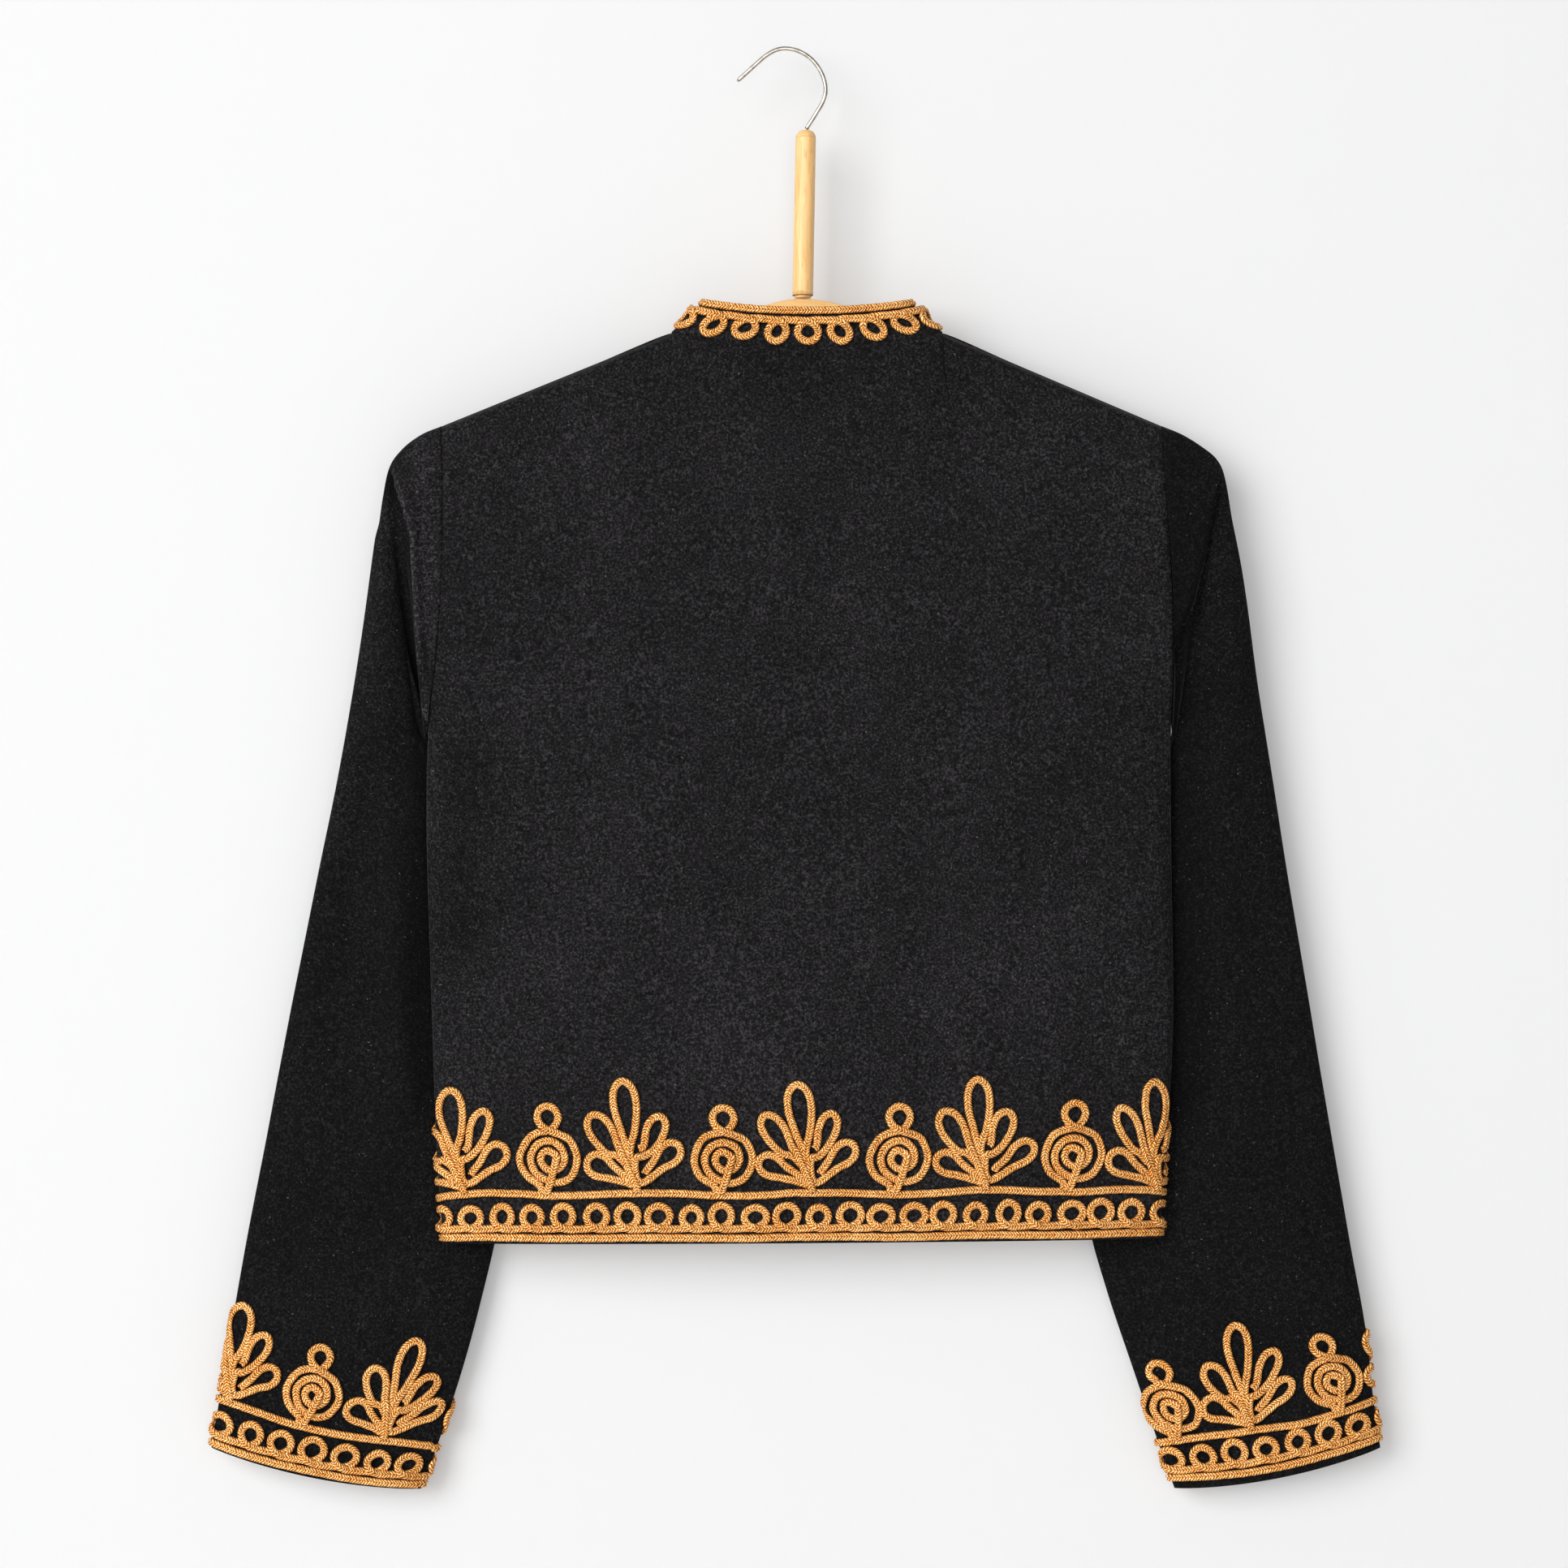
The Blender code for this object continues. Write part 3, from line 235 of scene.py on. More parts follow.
# Cut of the sleeves: outer edge (out, drop), inner edge (out, drop), how far behind the body
# each edge hangs, half depth, and how far the near layer is folded forward
sleeves = {
    "rowsLeft": (
        (225.0, 227.0, 222.2, 404.0, 0.0, 4.0, 13.5, 0.5),
        (236.0, 235.0, 223.0, 412.5, 1.0, 9.0, 13.5, 3.0),
        (244.0, 246.0, 221.5, 425.0, 2.0, 13.0, 13.5, -6.0),
        (248.0, 264.0, 216.5, 443.0, 3.0, 17.0, 13.0, -2.5),
        (252.0, 291.5, 209.0, 464.0, 4.0, 20.5, 12.0, 0.0),
        (259.0, 332.0, 201.0, 491.0, 6.0, 22.0, 11.5, 0.0),
        (267.0, 383.0, 192.0, 522.0, 8.0, 22.5, 11.5, 0.0),
        (277.0, 438.0, 186.0, 553.0, 9.0, 22.5, 11.5, 0.0),
        (289.0, 495.5, 181.0, 584.0, 10.0, 22.0, 11.5, 0.0),
        (301.0, 555.5, 178.5, 618.0, 11.0, 22.0, 11.0, 0.0),
        (312.0, 611.0, 177.5, 655.5, 12.0, 22.0, 10.5, 0.0),
        (321.5, 661.0, 181.0, 695.0, 13.0, 22.0, 10.5, 0.0),
        (330.0, 704.5, 189.5, 734.0, 14.0, 21.0, 10.0, 0.0),
        (338.0, 750.0, 202.0, 782.0, 14.0, 19.5, 9.5, 0.0),
        (345.0, 792.0, 214.5, 821.0, 14.0, 18.5, 9.0, 0.0),
        (351.0, 828.0, 226.5, 853.0, 14.0, 17.5, 8.5, 0.0),
    ),
    "rowsRight": (
        (225.0, 227.0, 219.6, 404.0, 0.0, 4.0, 13.5, 0.0),
        (236.5, 234.0, 220.5, 412.5, 1.0, 9.0, 13.5, 1.0),
        (246.0, 242.0, 218.5, 425.0, 2.0, 13.0, 13.5, -3.5),
        (251.0, 254.0, 213.0, 443.0, 3.0, 17.0, 13.0, -1.0),
        (256.0, 284.5, 205.5, 464.0, 4.0, 20.5, 12.0, 0.0),
        (263.0, 327.6, 197.0, 491.0, 6.0, 22.0, 11.5, 0.0),
        (271.0, 379.0, 188.0, 522.0, 8.0, 23.0, 11.5, 0.0),
        (280.0, 434.6, 180.0, 553.0, 9.0, 23.5, 11.5, 0.0),
        (289.5, 493.0, 174.5, 584.0, 10.0, 23.0, 11.5, 0.0),
        (299.5, 551.8, 171.0, 618.0, 11.0, 23.0, 11.0, 0.0),
        (309.0, 608.0, 169.5, 655.5, 12.0, 23.0, 10.5, 0.0),
        (318.0, 661.0, 171.4, 695.0, 13.0, 23.0, 10.5, 0.0),
        (326.4, 709.0, 181.5, 734.0, 14.0, 21.5, 10.0, 0.0),
        (335.0, 757.0, 196.8, 781.0, 14.0, 19.5, 9.5, 0.0),
        (339.5, 796.6, 210.7, 821.0, 14.0, 18.5, 9.0, 0.0),
        (344.0, 828.0, 221.8, 852.7, 14.0, 17.5, 8.5, 0.0),
    ),
    "cuffBulge": 5.0,
    "cuffBulgeRings": 3,
    # first ring, last ring, place across, width, height
    "foldsLeft": ((5, 13, 0.50, 0.10, 3.0), (5, 12, 0.21, 0.09, -2.5)),
    "foldsRight": ((6, 13, 0.62, 0.10, 2.0),),
}


def armholeRing(backEdge, frontEdge, side):
    ring = []
    last = armholeRows
    for place, row in enumerate(list(range(last + 1)) + list(range(last - 1, 0, -1))):
        edge = backEdge[row] if place <= last else frontEdge[row]
        openness = armholeOpenness(row)
        closing = math.sqrt(1 - openness ** 2)
        out = edge[0] + side * (seamGap + seamGap * closing)
        depth = edge[1] if 0 < row < last else 0.0
        if row == 0:
            ring.append(((out, 0.0, edge[2]), (out, 0.0, edge[2] + wall)))
            continue
        innerDepth = math.copysign(max(0.0, abs(depth) - wall * openness), depth)
        ring.append(((out, depth, edge[2] + wall * closing), (out, innerDepth, edge[2])))
    return ring


def sleeveRing(values, ring, folds, ringCount, side):
    outerOut, outerDrop, innerOut, innerDrop, outerDepth, innerDepth, halfDepth, fold = values
    chord = math.hypot(outerOut - innerOut, outerDrop - innerDrop)
    bulge = sleeves["cuffBulge"] * max(0.0, 1 - (ringCount - ring) / sleeves["cuffBulgeRings"])
    last = armholeRows
    points = []
    for place in range(2 * last):
        turn = math.pi * place / last
        fullAcross = 0.5 - 0.5 * math.cos(turn)
        forward = 0.0
        if place < last:
            forward = fold * math.sin(math.pi * fullAcross) ** 0.7
            for start, end, middle, width, height in folds:
                if start < ring < end:
                    along = math.sin(math.pi * (ring - start) / (end - start))
                    forward += height * along * math.exp(-(((fullAcross - middle) / width) ** 2))
        pair = []
        for inset in (0.0, wall):
            across = 0.5 - (0.5 - inset / chord) * math.cos(turn)
            depth = blend(outerDepth, innerDepth, fullAcross) - (halfDepth - inset) * math.sin(turn)
            drop = blend(outerDrop, innerDrop, across) + bulge * 4 * fullAcross * (1 - fullAcross)
            pair.append((side * blend(outerOut, innerOut, across), depth - forward, drop))
        points.append(pair)
    return points


def sleeveGrids(sideName, backEdge, frontEdge):
    side = -1 if sideName == "Left" else 1
    rows = sleeves["rows" + sideName]
    rings = [armholeRing(backEdge, frontEdge, side)]
    for ring, values in enumerate(rows, start=1):
        rings.append(sleeveRing(values, ring, sleeves["folds" + sideName], len(rows), side))
    both = np.array(rings)
    return both[:, :, 0], both[:, :, 1]


collar = {
    "topHalfWidth": 59.5,
    "topDrop": 148.4,
    "dip": {"back": 4.6, "front": 56.0},
    "depth": {"back": 12.5, "front": 17.0},
    "seamGap": -0.2,
}


def collarPoint(angle, share):
    forward = -math.cos(angle)
    layer, bend = ("back", forward ** 2) if forward < 0 else ("front", forward)
    halfWidth = blend(neckHalfWidth, collar["topHalfWidth"], share)
    depth = blend(jacket["neckDepth"][layer], collar["depth"][layer], share)
    base = neckDrop + jacket["neckDip"][layer] * bend
    top = collar["topDrop"] + collar["dip"][layer] * bend
    drop = blend(base - collar["seamGap"], top, share)
    depth = math.copysign(depth * neckShare(angle), forward)
    return (
        (neckX + halfWidth * math.sin(angle), depth, drop),
        (neckX + (halfWidth - wall) * math.sin(angle), depth - wall * forward, drop),
    )


def collarGrids():
    quarter = [math.radians(angle) for angle in jacket["neckAngles"]]
    half = quarter + [math.pi - angle for angle in quarter[-2::-1]]
    angles = [-angle for angle in half[:0:-1]] + half
    both = np.array([[collarPoint(angle, share) for angle in angles] for share in (0.0, 0.5, 1.0)])
    both[:, 0, :, 0] -= frontGap / 2
    both[:, -1, :, 0] += frontGap / 2
    return both[:, :, 0], both[:, :, 1]


# Velvet shells: soft creases are pushed into the smooth cloth. Each crease is a route of
# (out, drop) points, then the width and height of its left slope and, if that differs, of
# its right slope.
cloth = {
    "ripple": 0.5,            # mm of gentle unevenness all over
    "rippleLengths": (46.0, 83.0, 131.0),
    "rippleLean": 0.6,        # how far a ripple strays from upright, in radians
    "easing": 60,
    "leastShade": 0.02,
    "turnFade": 1.6,          # how soon a sleeve's creases begin, round from its edge
    "creases": {
        "back": (
            (((-6.8, 176.0), (-5.0, 201.0)), (3.6, -1.5), (3.6, 1.1)),
            (((15.4, 176.0), (17.0, 206.0)), (3.6, 1.1), (3.6, -1.5)),
            (((-170.0, 590.0), (-150.0, 640.0)), (12.0, -1.4)),
            (((-60.0, 520.0), (-40.0, 660.0)), (18.0, 1.0)),
            (((70.0, 470.0), (96.0, 640.0)), (20.0, -0.9)),
            (((-150.0, 250.0), (-168.0, 360.0)), (14.0, 0.9)),
            (((152.0, 250.0), (170.0, 360.0)), (14.0, 0.9)),
        ),
        "front": (
            (((-196.0, 300.0), (-160.0, 390.0)), (10.0, 1.0)),
            (((192.0, 300.0), (158.0, 400.0)), (10.0, 1.0)),
            (((-120.0, 420.0), (-96.0, 640.0)), (16.0, -0.9)),
            (((118.0, 440.0), (88.0, 660.0)), (17.0, -0.9)),
            (((-50.0, 300.0), (-40.0, 420.0)), (13.0, 0.8)),
        ),
        "sleeveLeft": (
            (((-238.5, 259.0), (-235.0, 268.0), (-230.8, 287.0), (-228.8, 322.0), (-225.8, 364.0),
              (-221.2, 398.0)), (8.5, -5.2), (6.0, 2.8)),
            (((-249.0, 290.0), (-247.0, 350.0), (-246.0, 424.0), (-240.0, 486.0), (-238.0, 570.0),
              (-230.0, 612.0)), (9.0, 2.2), (7.0, 2.2)),
            (((-268.0, 470.0), (-272.0, 545.0)), (14.0, -1.8), (12.0, -1.8)),
            (((-205.0, 680.0), (-222.0, 742.0)), (5.0, 1.2)),
            (((-203.0, 786.0), (-214.0, 796.0)), (3.0, -1.0)),
        ),
        "sleeveRight": (
            (((245.0, 262.0), (241.0, 280.0), (236.5, 303.0), (229.0, 330.0), (220.0, 352.0)),
             (5.0, 2.2), (9.0, -3.4)),
            (((262.0, 276.0), (258.0, 340.0), (252.0, 430.0), (250.0, 520.0), (264.0, 640.0)),
             (8.0, 1.8), (12.0, 1.8)),
            (((191.0, 706.0), (206.0, 770.0), (211.0, 788.0), (221.0, 824.0)), (1.2, -0.7)),
        ),
    },
    # the velvet's colour scale: 1 is the body's own black, more is paler, less is darker; each piece has a
    # level and bands of painted highlight and painted shade
    "nap": {
        # the back: painted shade beside the left side seam and across the upper back, and a painted
        # highlight across the lower back
        "back": (1.0, (
            (((-200.0, 420.0), (-204.0, 520.0)), (16.0, -0.35)),
            (((-120.0, 560.0), (20.0, 590.0), (120.0, 560.0)), (60.0, 0.16)),
            (((-90.0, 190.0), (100.0, 190.0)), (34.0, -0.18)),
        )),
        # the left sleeve, darker than the body: painted shade in the cleft outside its fold and a painted
        # highlight on the fold's lip, painted highlights on the cap and along the outer ridge, and painted
        # shade beside the body's edge
        "sleeveLeft": (0.46, (
            (((-243.0, 250.0), (-235.0, 268.0), (-230.8, 287.0), (-228.8, 322.0), (-225.8, 364.0),
              (-221.2, 398.0)), (9.0, -0.42), (2.6, 1.5)),
            (((-230.0, 240.0), (-226.0, 290.0), (-222.0, 340.0)), (9.0, 0.5), (20.0, 1.0)),
            (((-252.0, 280.0), (-262.0, 350.0), (-284.0, 470.0)), (9.0, 0.30), (12.0, 0.30)),
            (((-222.0, 420.0), (-221.0, 520.0), (-219.0, 620.0)), (20.0, -0.24)),
        )),
        # the right sleeve, darker than the body: painted shade and a painted highlight either side of its
        # crease, and painted shade beside the armhole seam and the body's edge
        "sleeveRight": (0.44, (
            (((245.0, 262.0), (241.0, 280.0), (236.5, 303.0), (229.0, 330.0), (220.0, 352.0)),
             (3.0, -0.34), (5.0, 0.28)),
            (((216.0, 250.0), (219.0, 300.0), (221.0, 350.0)), (8.0, -0.2), (12.0, -0.2)),
            (((222.0, 380.0), (222.0, 500.0), (223.0, 620.0)), (18.0, -0.24)),
        )),
    },
}


def fromRoute(points, route):
    nearest = np.full(points.shape[:-1], 1e9)
    onRight = np.zeros(points.shape[:-1], bool)
    for start, end in zip(route, route[1:]):
        start, end = np.array(start), np.array(end)
        run = end - start
        along = np.clip(((points - start) @ run) / (run @ run), 0, 1)
        gap = np.linalg.norm(points - start - along[..., None] * run, axis=-1)
        turn = run[0] * (points[..., 1] - start[1]) - run[1] * (points[..., 0] - start[0])
        closer = gap < nearest
        onRight[closer] = turn[closer] < 0
        nearest = np.minimum(nearest, gap)
    return nearest, onRight


def creaseLift(points, crease):
    route, left, right = crease[0], crease[1], crease[-1]
    gap, onRight = fromRoute(points, route)
    width = np.where(onRight, right[0], left[0])
    return np.where(onRight, right[1], left[1]) * np.exp(-(gap / width) ** 2)


# A piece's colour scale at each point: its level, plus bands of painted highlight and painted shade, on a
# sleeve only on its back face
def paintToneAndLight(points, key, shown):
    level, bands = cloth["nap"].get(key, (1.0, ()))
    shade = np.full(points.shape[:-1], level)
    for band in bands:
        shade += shown * creaseLift(points, band)
    return np.maximum(shade, cloth["leastShade"])


def ripples(points, seed):
    draw = random.Random(seed)
    lift = np.zeros(points.shape[:-1])
    for length in cloth["rippleLengths"]:
        for _ in range(3):
            turn = draw.uniform(-cloth["rippleLean"], cloth["rippleLean"]) + math.pi / 2
            phase = draw.uniform(0, 2 * math.pi)
            wave = points[..., 0] * math.sin(turn) + points[..., 2] * math.cos(turn)
            sway = 0.35 * np.sin(2 * math.pi * points[..., 2] / (length * 2.3) + phase)
            lift += np.sin(2 * math.pi * wave / length + phase + sway) / 3
    return cloth["ripple"] * lift / len(cloth["rippleLengths"])


def gridNormals(grid, closed):
    if closed:
        wide = np.concatenate([grid[:, -1:], grid, grid[:, :1]], axis=1)
        across = np.gradient(wide, axis=1)[:, 1:-1]
    else:
        across = np.gradient(grid, axis=1)
    return unit(np.cross(across, np.gradient(grid, axis=0)))


# Evens out a panel down its length, so that no kink shows where the armhole ends. The top,
# the hem and the armhole's own edge stay where they are.
def easePanel(grid, steps, edge):
    down = np.arange(grid.shape[0])
    free = smooth((down / steps[0] - 2) / 3) * smooth((down[::-1] / steps[0]) / 4)
    held = 1 - smooth((down / steps[0] - armholeRows) / 1.5)
    beside = smooth(np.abs(np.arange(grid.shape[1]) - edge) / (1.5 * steps[1]))
    free = free[:, None] * (1 - held[:, None] * (1 - beside[None, :]))
    for _ in range(cloth["easing"]):
        grid[1:-1] += 0.25 * (grid[:-2] - 2 * grid[1:-1] + grid[2:]) * free[1:-1, :, None]
    return grid


# Smooths, creases and ripples both faces of one cut piece. Its rim keeps its own line.
def softenCloth(outer, inner, steps, creases, seed, armholeEdges, closed):
    outer = refine(refine(outer, steps[0], 0), steps[1], 1, closed)
    inner = refine(refine(inner, steps[0], 0), steps[1], 1, closed)
    for edge in armholeEdges:
        edge = edge % outer.shape[1]
        outer, inner = easePanel(outer, steps, edge), easePanel(inner, steps, edge)
    normals = gridNormals(outer, closed)
    facing = np.sign((normals * (outer - inner)).sum(axis=-1, keepdims=True))
    normals = normals * np.where(facing == 0, 1, facing)
    lift = ripples(outer, seed)
    flat = outer[..., [0, 2]]
    shown = smooth(-cloth["turnFade"] * normals[..., 1]) if closed else 1.0
    for crease in cloth["creases"].get(creases, ()):
        lift += shown * creaseLift(flat, crease)
    # each point's colour scale: the piece's level plus painted highlights and painted shade along its folds
    # and creases
    shade = paintToneAndLight(flat, creases, shown)
    down, across = (np.arange(size) for size in outer.shape[:2])
    rim = np.minimum(down, down[::-1])[:, None] / steps[0]
    if not closed:
        rim = np.minimum(rim, np.minimum(across, across[::-1])[None, :] / steps[1])
    shift = normals * (lift * smooth(rim))[..., None]
    return outer + shift, inner + shift, shade


def addMesh(name, points, faces, materials, faceMaterials=None, uvs=None):
    mesh = bpy.data.meshes.new(name)
    mesh.from_pydata([tuple(p) for p in points], [], faces)
    for material in materials:
        mesh.materials.append(material)
    if faceMaterials is not None:
        mesh.polygons.foreach_set("material_index", faceMaterials)
    if uvs is not None:
        layer = mesh.uv_layers.new(name="UVMap")
        loops = np.zeros(len(mesh.loops), dtype=np.int32)
        mesh.loops.foreach_get("vertex_index", loops)
        layer.data.foreach_set("uv", np.asarray(uvs, dtype=np.float32)[loops].ravel())
    mesh.validate()
    mesh.shade_smooth()
    piece = bpy.data.objects.new(name, mesh)
    bpy.context.scene.collection.objects.link(piece)
    return piece


def flipIfInsideOut(piece):
    mesh = piece.data
    mesh.calc_loop_triangles()
    points = np.array([v.co[:] for v in mesh.vertices])
    corners = points[np.array([t.vertices[:] for t in mesh.loop_triangles])]
    volume = np.einsum("ij,ij->i", corners[:, 0], np.cross(corners[:, 1], corners[:, 2])).sum()
    if volume < 0:
        mesh.flip_normals()


def shellMesh(name, outer, inner, materials, closed):
    rows, columns = outer.shape[:2]
    points = np.concatenate([toWorld(outer).reshape(-1, 3), toWorld(inner).reshape(-1, 3)])
    half = rows * columns
    spans = columns if closed else columns - 1
    faces, kinds = [], []

    def corner(row, column):
        return row * columns + column % columns

    for row in range(rows - 1):
        for column in range(spans):
            a, b = corner(row, column), corner(row, column + 1)
            c, d = corner(row + 1, column + 1), corner(row + 1, column)
            faces.append((a, b, c, d))
            kinds.append(0)
            faces.append((d + half, c + half, b + half, a + half))
            kinds.append(1)
    rims = [((row, column), (row, column + 1), row == 0)
            for row in (0, rows - 1) for column in range(spans)]
    if not closed:
        rims += [((row, column), (row + 1, column), column > 0)
                 for column in (0, columns - 1) for row in range(rows - 1)]
    for one, two, turned in rims:
        a, b = corner(*one), corner(*two)
        faces.append((a, a + half, b + half, b) if turned else (a, b, b + half, a + half))
        kinds.append(0)
    piece = addMesh(name, points, faces, materials, kinds)
    flipIfInsideOut(piece)
    return piece


def finishPiece(piece, slot, *nodes):
    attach(piece, "root")
    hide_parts(*nodes)


# Materials: a finish keeps the nodes of one material together
black, white = (0.0, 0.0, 0.0), (1.0, 1.0, 1.0)


class Finish:
    def __init__(self, name):
        self.material = bpy.data.materials.new(name)
        self.material.use_nodes = True
        self.nodes = self.material.node_tree.nodes
        self.shader = self.nodes["Principled BSDF"]

    def join(self, output, socket):
        self.material.node_tree.links.new(output, socket)

    def fill(self, node, values):
        for name, value in values.items():
            socket = node.inputs[name]
            if isinstance(value, tuple):
                socket.default_value = (*value, 1.0) if socket.type == "RGBA" else value
            elif isinstance(value, (int, float)):
                socket.default_value = value
            else:
                self.join(value, socket)

    def surface(self, values):
        self.fill(self.shader, values)
        return self.material

    def add(self, kind, values, **settings):
        node = self.nodes.new("ShaderNode" + kind)
        for name, value in settings.items():
            setattr(node, name, value)
        self.fill(node, values)
        return node

    def coordinates(self, kind="Object"):
        return self.add("TexCoord", {}).outputs[kind]

    def noise(self, place, scale, detail=3.0, roughness=0.55, distortion=0.0):
        return self.add("TexNoise", {
            "Vector": place, "Scale": scale, "Detail": detail, "Roughness": roughness,
            "Distortion": distortion,
        }).outputs["Fac"]

    def ramp(self, value, stops):
        node = self.add("ValToRGB", {"Fac": value})
        elements = node.color_ramp.elements
        while len(elements) < len(stops):
            elements.new(0.5)
        for element, (place, colour) in zip(elements, stops):
            element.position = place
            element.color = (*colour, 1.0)
        return node.outputs["Color"]

    def maths(self, operation, *values):
        return self.add("Math", dict(enumerate(values)), operation=operation).outputs[0]

    # adds up (value, share) pairs
    def total(self, *parts):
        values = [self.maths("MULTIPLY", value, share) for value, share in parts]
        result = values[0]
        for value in values[1:]:
            result = self.maths("ADD", result, value)
        return result

    def between(self, value, low, high, start=0.0, end=1.0, kind="LINEAR"):
        return self.add("MapRange", {
            "Value": value, "From Min": start, "From Max": end, "To Min": low, "To Max": high,
        }, interpolation_type=kind).outputs["Result"]

    def mix(self, share, first, second):
        node = self.add("Mix", {}, data_type="RGBA")
        colours = [place for place, socket in enumerate(node.inputs) if socket.type == "RGBA"]
        self.fill(node, {0: share, colours[0]: first, colours[1]: second})
        return next(socket for socket in node.outputs if socket.type == "RGBA")

    def bump(self, height, strength, distance, under=None):
        values = {"Height": height, "Strength": strength, "Distance": distance}
        if under is not None:
            values["Normal"] = under
        return self.add("Bump", values).outputs["Normal"]


velvetLook = {
    "dark": (0.0016, 0.0014, 0.0016),
    "light": (0.0085, 0.0078, 0.0086),
    "brushed": (0.0400, 0.0378, 0.0398),
    "lint": (0.150, 0.140, 0.144),
    "sheen": 0.085,
    "sheenRoughness": 0.36,
    "sheenTint": (0.62, 0.60, 0.62),
    "roughness": (0.82, 1.0),
    "grain": 720.0,           # pile, per metre
    "mottle": 260.0,
    "cloud": 14.0,
    "fibres": 640.0,          # stray fibres caught on the pile
    "fibreShare": 0.55,
}


def makeVelvet():
    finish = Finish("black cotton velvet")
    place = finish.coordinates()
    grain = finish.noise(place, velvetLook["grain"], 2.0, 0.6)
    mottle = finish.noise(place, velvetLook["mottle"], 4.0, 0.65)
    cloud = finish.noise(place, velvetLook["cloud"], 3.0, 0.5, 0.4)
    pile = finish.ramp(finish.total((grain, 0.66), (mottle, 0.25), (cloud, 0.09)), (
        (0.37, velvetLook["dark"]), (0.51, velvetLook["light"]), (0.68, velvetLook["brushed"]),
    ))
    # each point's stored value scales the pile's colour: the sleeves' darker level, with painted highlights
    # and painted shade along folds, creases and beside the body
    nap = finish.add("Attribute", {}, attribute_name="nap").outputs["Fac"]
    lit = finish.add("VectorMath", {0: pile, "Scale": nap}, operation="SCALE").outputs["Vector"]
    fibres = finish.noise(place, velvetLook["fibres"], 1.0, 0.5)
    caught = finish.ramp(fibres, ((0.735, black), (0.80, white)))
    share = finish.maths("MULTIPLY", caught, velvetLook["fibreShare"])
    return finish.surface({
        "Base Color": finish.mix(share, lit, velvetLook["lint"]),
        "Roughness": finish.between(mottle, *velvetLook["roughness"]),
        "Specular IOR Level": 0.10,
        "Sheen Weight": velvetLook["sheen"],
        "Sheen Roughness": velvetLook["sheenRoughness"],
        "Sheen Tint": velvetLook["sheenTint"],
        "Normal": finish.bump(grain, 0.50, 0.0006, finish.bump(mottle, 0.30, 0.0010)),
    })


backingLook = {
    "dark": (0.010, 0.010, 0.011),
    "light": (0.026, 0.025, 0.026),
    "threadsPerMetre": 900.0,
}


# The plain woven back of the velvet, seen inside the neck, hem and cuffs
def makeBacking():
    finish = Finish("woven velvet back")
    place = finish.coordinates()
    scale = backingLook["threadsPerMetre"] / 6.283
    waves = [
        finish.add("TexWave", {"Vector": place, "Scale": scale, "Distortion": 0.6},
                   wave_type="BANDS", bands_direction=direction).outputs["Fac"]
        for direction in ("X", "Z")
    ]
    weave = finish.maths("MULTIPLY", *waves)
    shade = finish.total((weave, 0.6), (finish.noise(place, 40.0, 3.0, 0.5), 0.4))
    return finish.surface({
        "Base Color": finish.ramp(shade, ((0.15, backingLook["dark"]), (0.75, backingLook["light"]))),
        "Roughness": 0.86,
        "Specular IOR Level": 0.25,
        "Normal": finish.bump(weave, 0.5, 0.0004),
    })


braidLook = {
    # groove is painted shade and fleck is a painted glint; body and bright are the braid's own colour
    "groove": (0.130, 0.026, 0.002),
    "body": (0.440, 0.122, 0.010),
    "bright": (0.860, 0.345, 0.055),
    "fleckAndPaintedGlint": (1.000, 0.760, 0.380),
    "twist": 1.70,            # mm from one strand to the next
    "slant": 1.6,             # strands' lean across a ridge, in twists
    "wander": 1.1,            # how far strands stray, in twists
    "grooveShade": 0.62,
    "metallic": 0.38,
    "roughness": (0.56, 0.28),
}


# Metallic braid: UV x runs along the cord in centimetres, UV y across it
def makeBraid():
    finish = Finish("bronze soutache braid")
    split = finish.add("SeparateXYZ", {"Vector": finish.coordinates("UV")})
    fromMiddle = finish.maths("ABSOLUTE", finish.maths("SUBTRACT", split.outputs["Y"], 0.5))
    place = finish.coordinates()
    phase = finish.total(
        (split.outputs["X"], 10.0 / braidLook["twist"]), (fromMiddle, 2 * braidLook["slant"]),
        (finish.noise(place, 420.0, 2.0, 0.5), braidLook["wander"]),
    )
    strand = finish.maths("SINE", finish.maths("MULTIPLY", phase, 2 * math.pi))
    strand = finish.maths("ADD", finish.maths("MULTIPLY", strand, 0.5), 0.5)
    fleckAndPaintedGlint = finish.noise(place, 950.0, 2.0, 0.75)
    tone = finish.noise(place, 60.0, 3.0, 0.6)

    # painted shade: darker where the two ridges meet and at both sides, where the cord turns under
    groove = finish.between(fromMiddle, braidLook["grooveShade"], 1.0, 0.0, 0.10, "SMOOTHSTEP")
    edge = finish.between(fromMiddle, 0.0, 1.0, 0.50, 0.40, "SMOOTHSTEP")
    # the ramp's darkest stop paints shade between strands and its brightest paints glints on the metal
    # thread; between them is the braid's own colour, varying with the strands and at random
    threadsWithPaintedLight = finish.ramp(finish.total((strand, 0.34), (fleckAndPaintedGlint, 0.66), (tone, 0.16)), (
        (0.36, braidLook["groove"]), (0.48, braidLook["body"]),
        (0.62, braidLook["bright"]), (0.78, braidLook["fleckAndPaintedGlint"]),
    ))
    return finish.surface({
        "Base Color": finish.mix(finish.maths("MULTIPLY", groove, edge), braidLook["groove"], threadsWithPaintedLight),
        "Metallic": braidLook["metallic"],
        "Specular IOR Level": 0.05,
        "Roughness": finish.between(fleckAndPaintedGlint, *braidLook["roughness"]),
        "Normal": finish.bump(fleckAndPaintedGlint, 0.6, 0.0003, finish.bump(strand, 0.55, 0.0004)),
    })


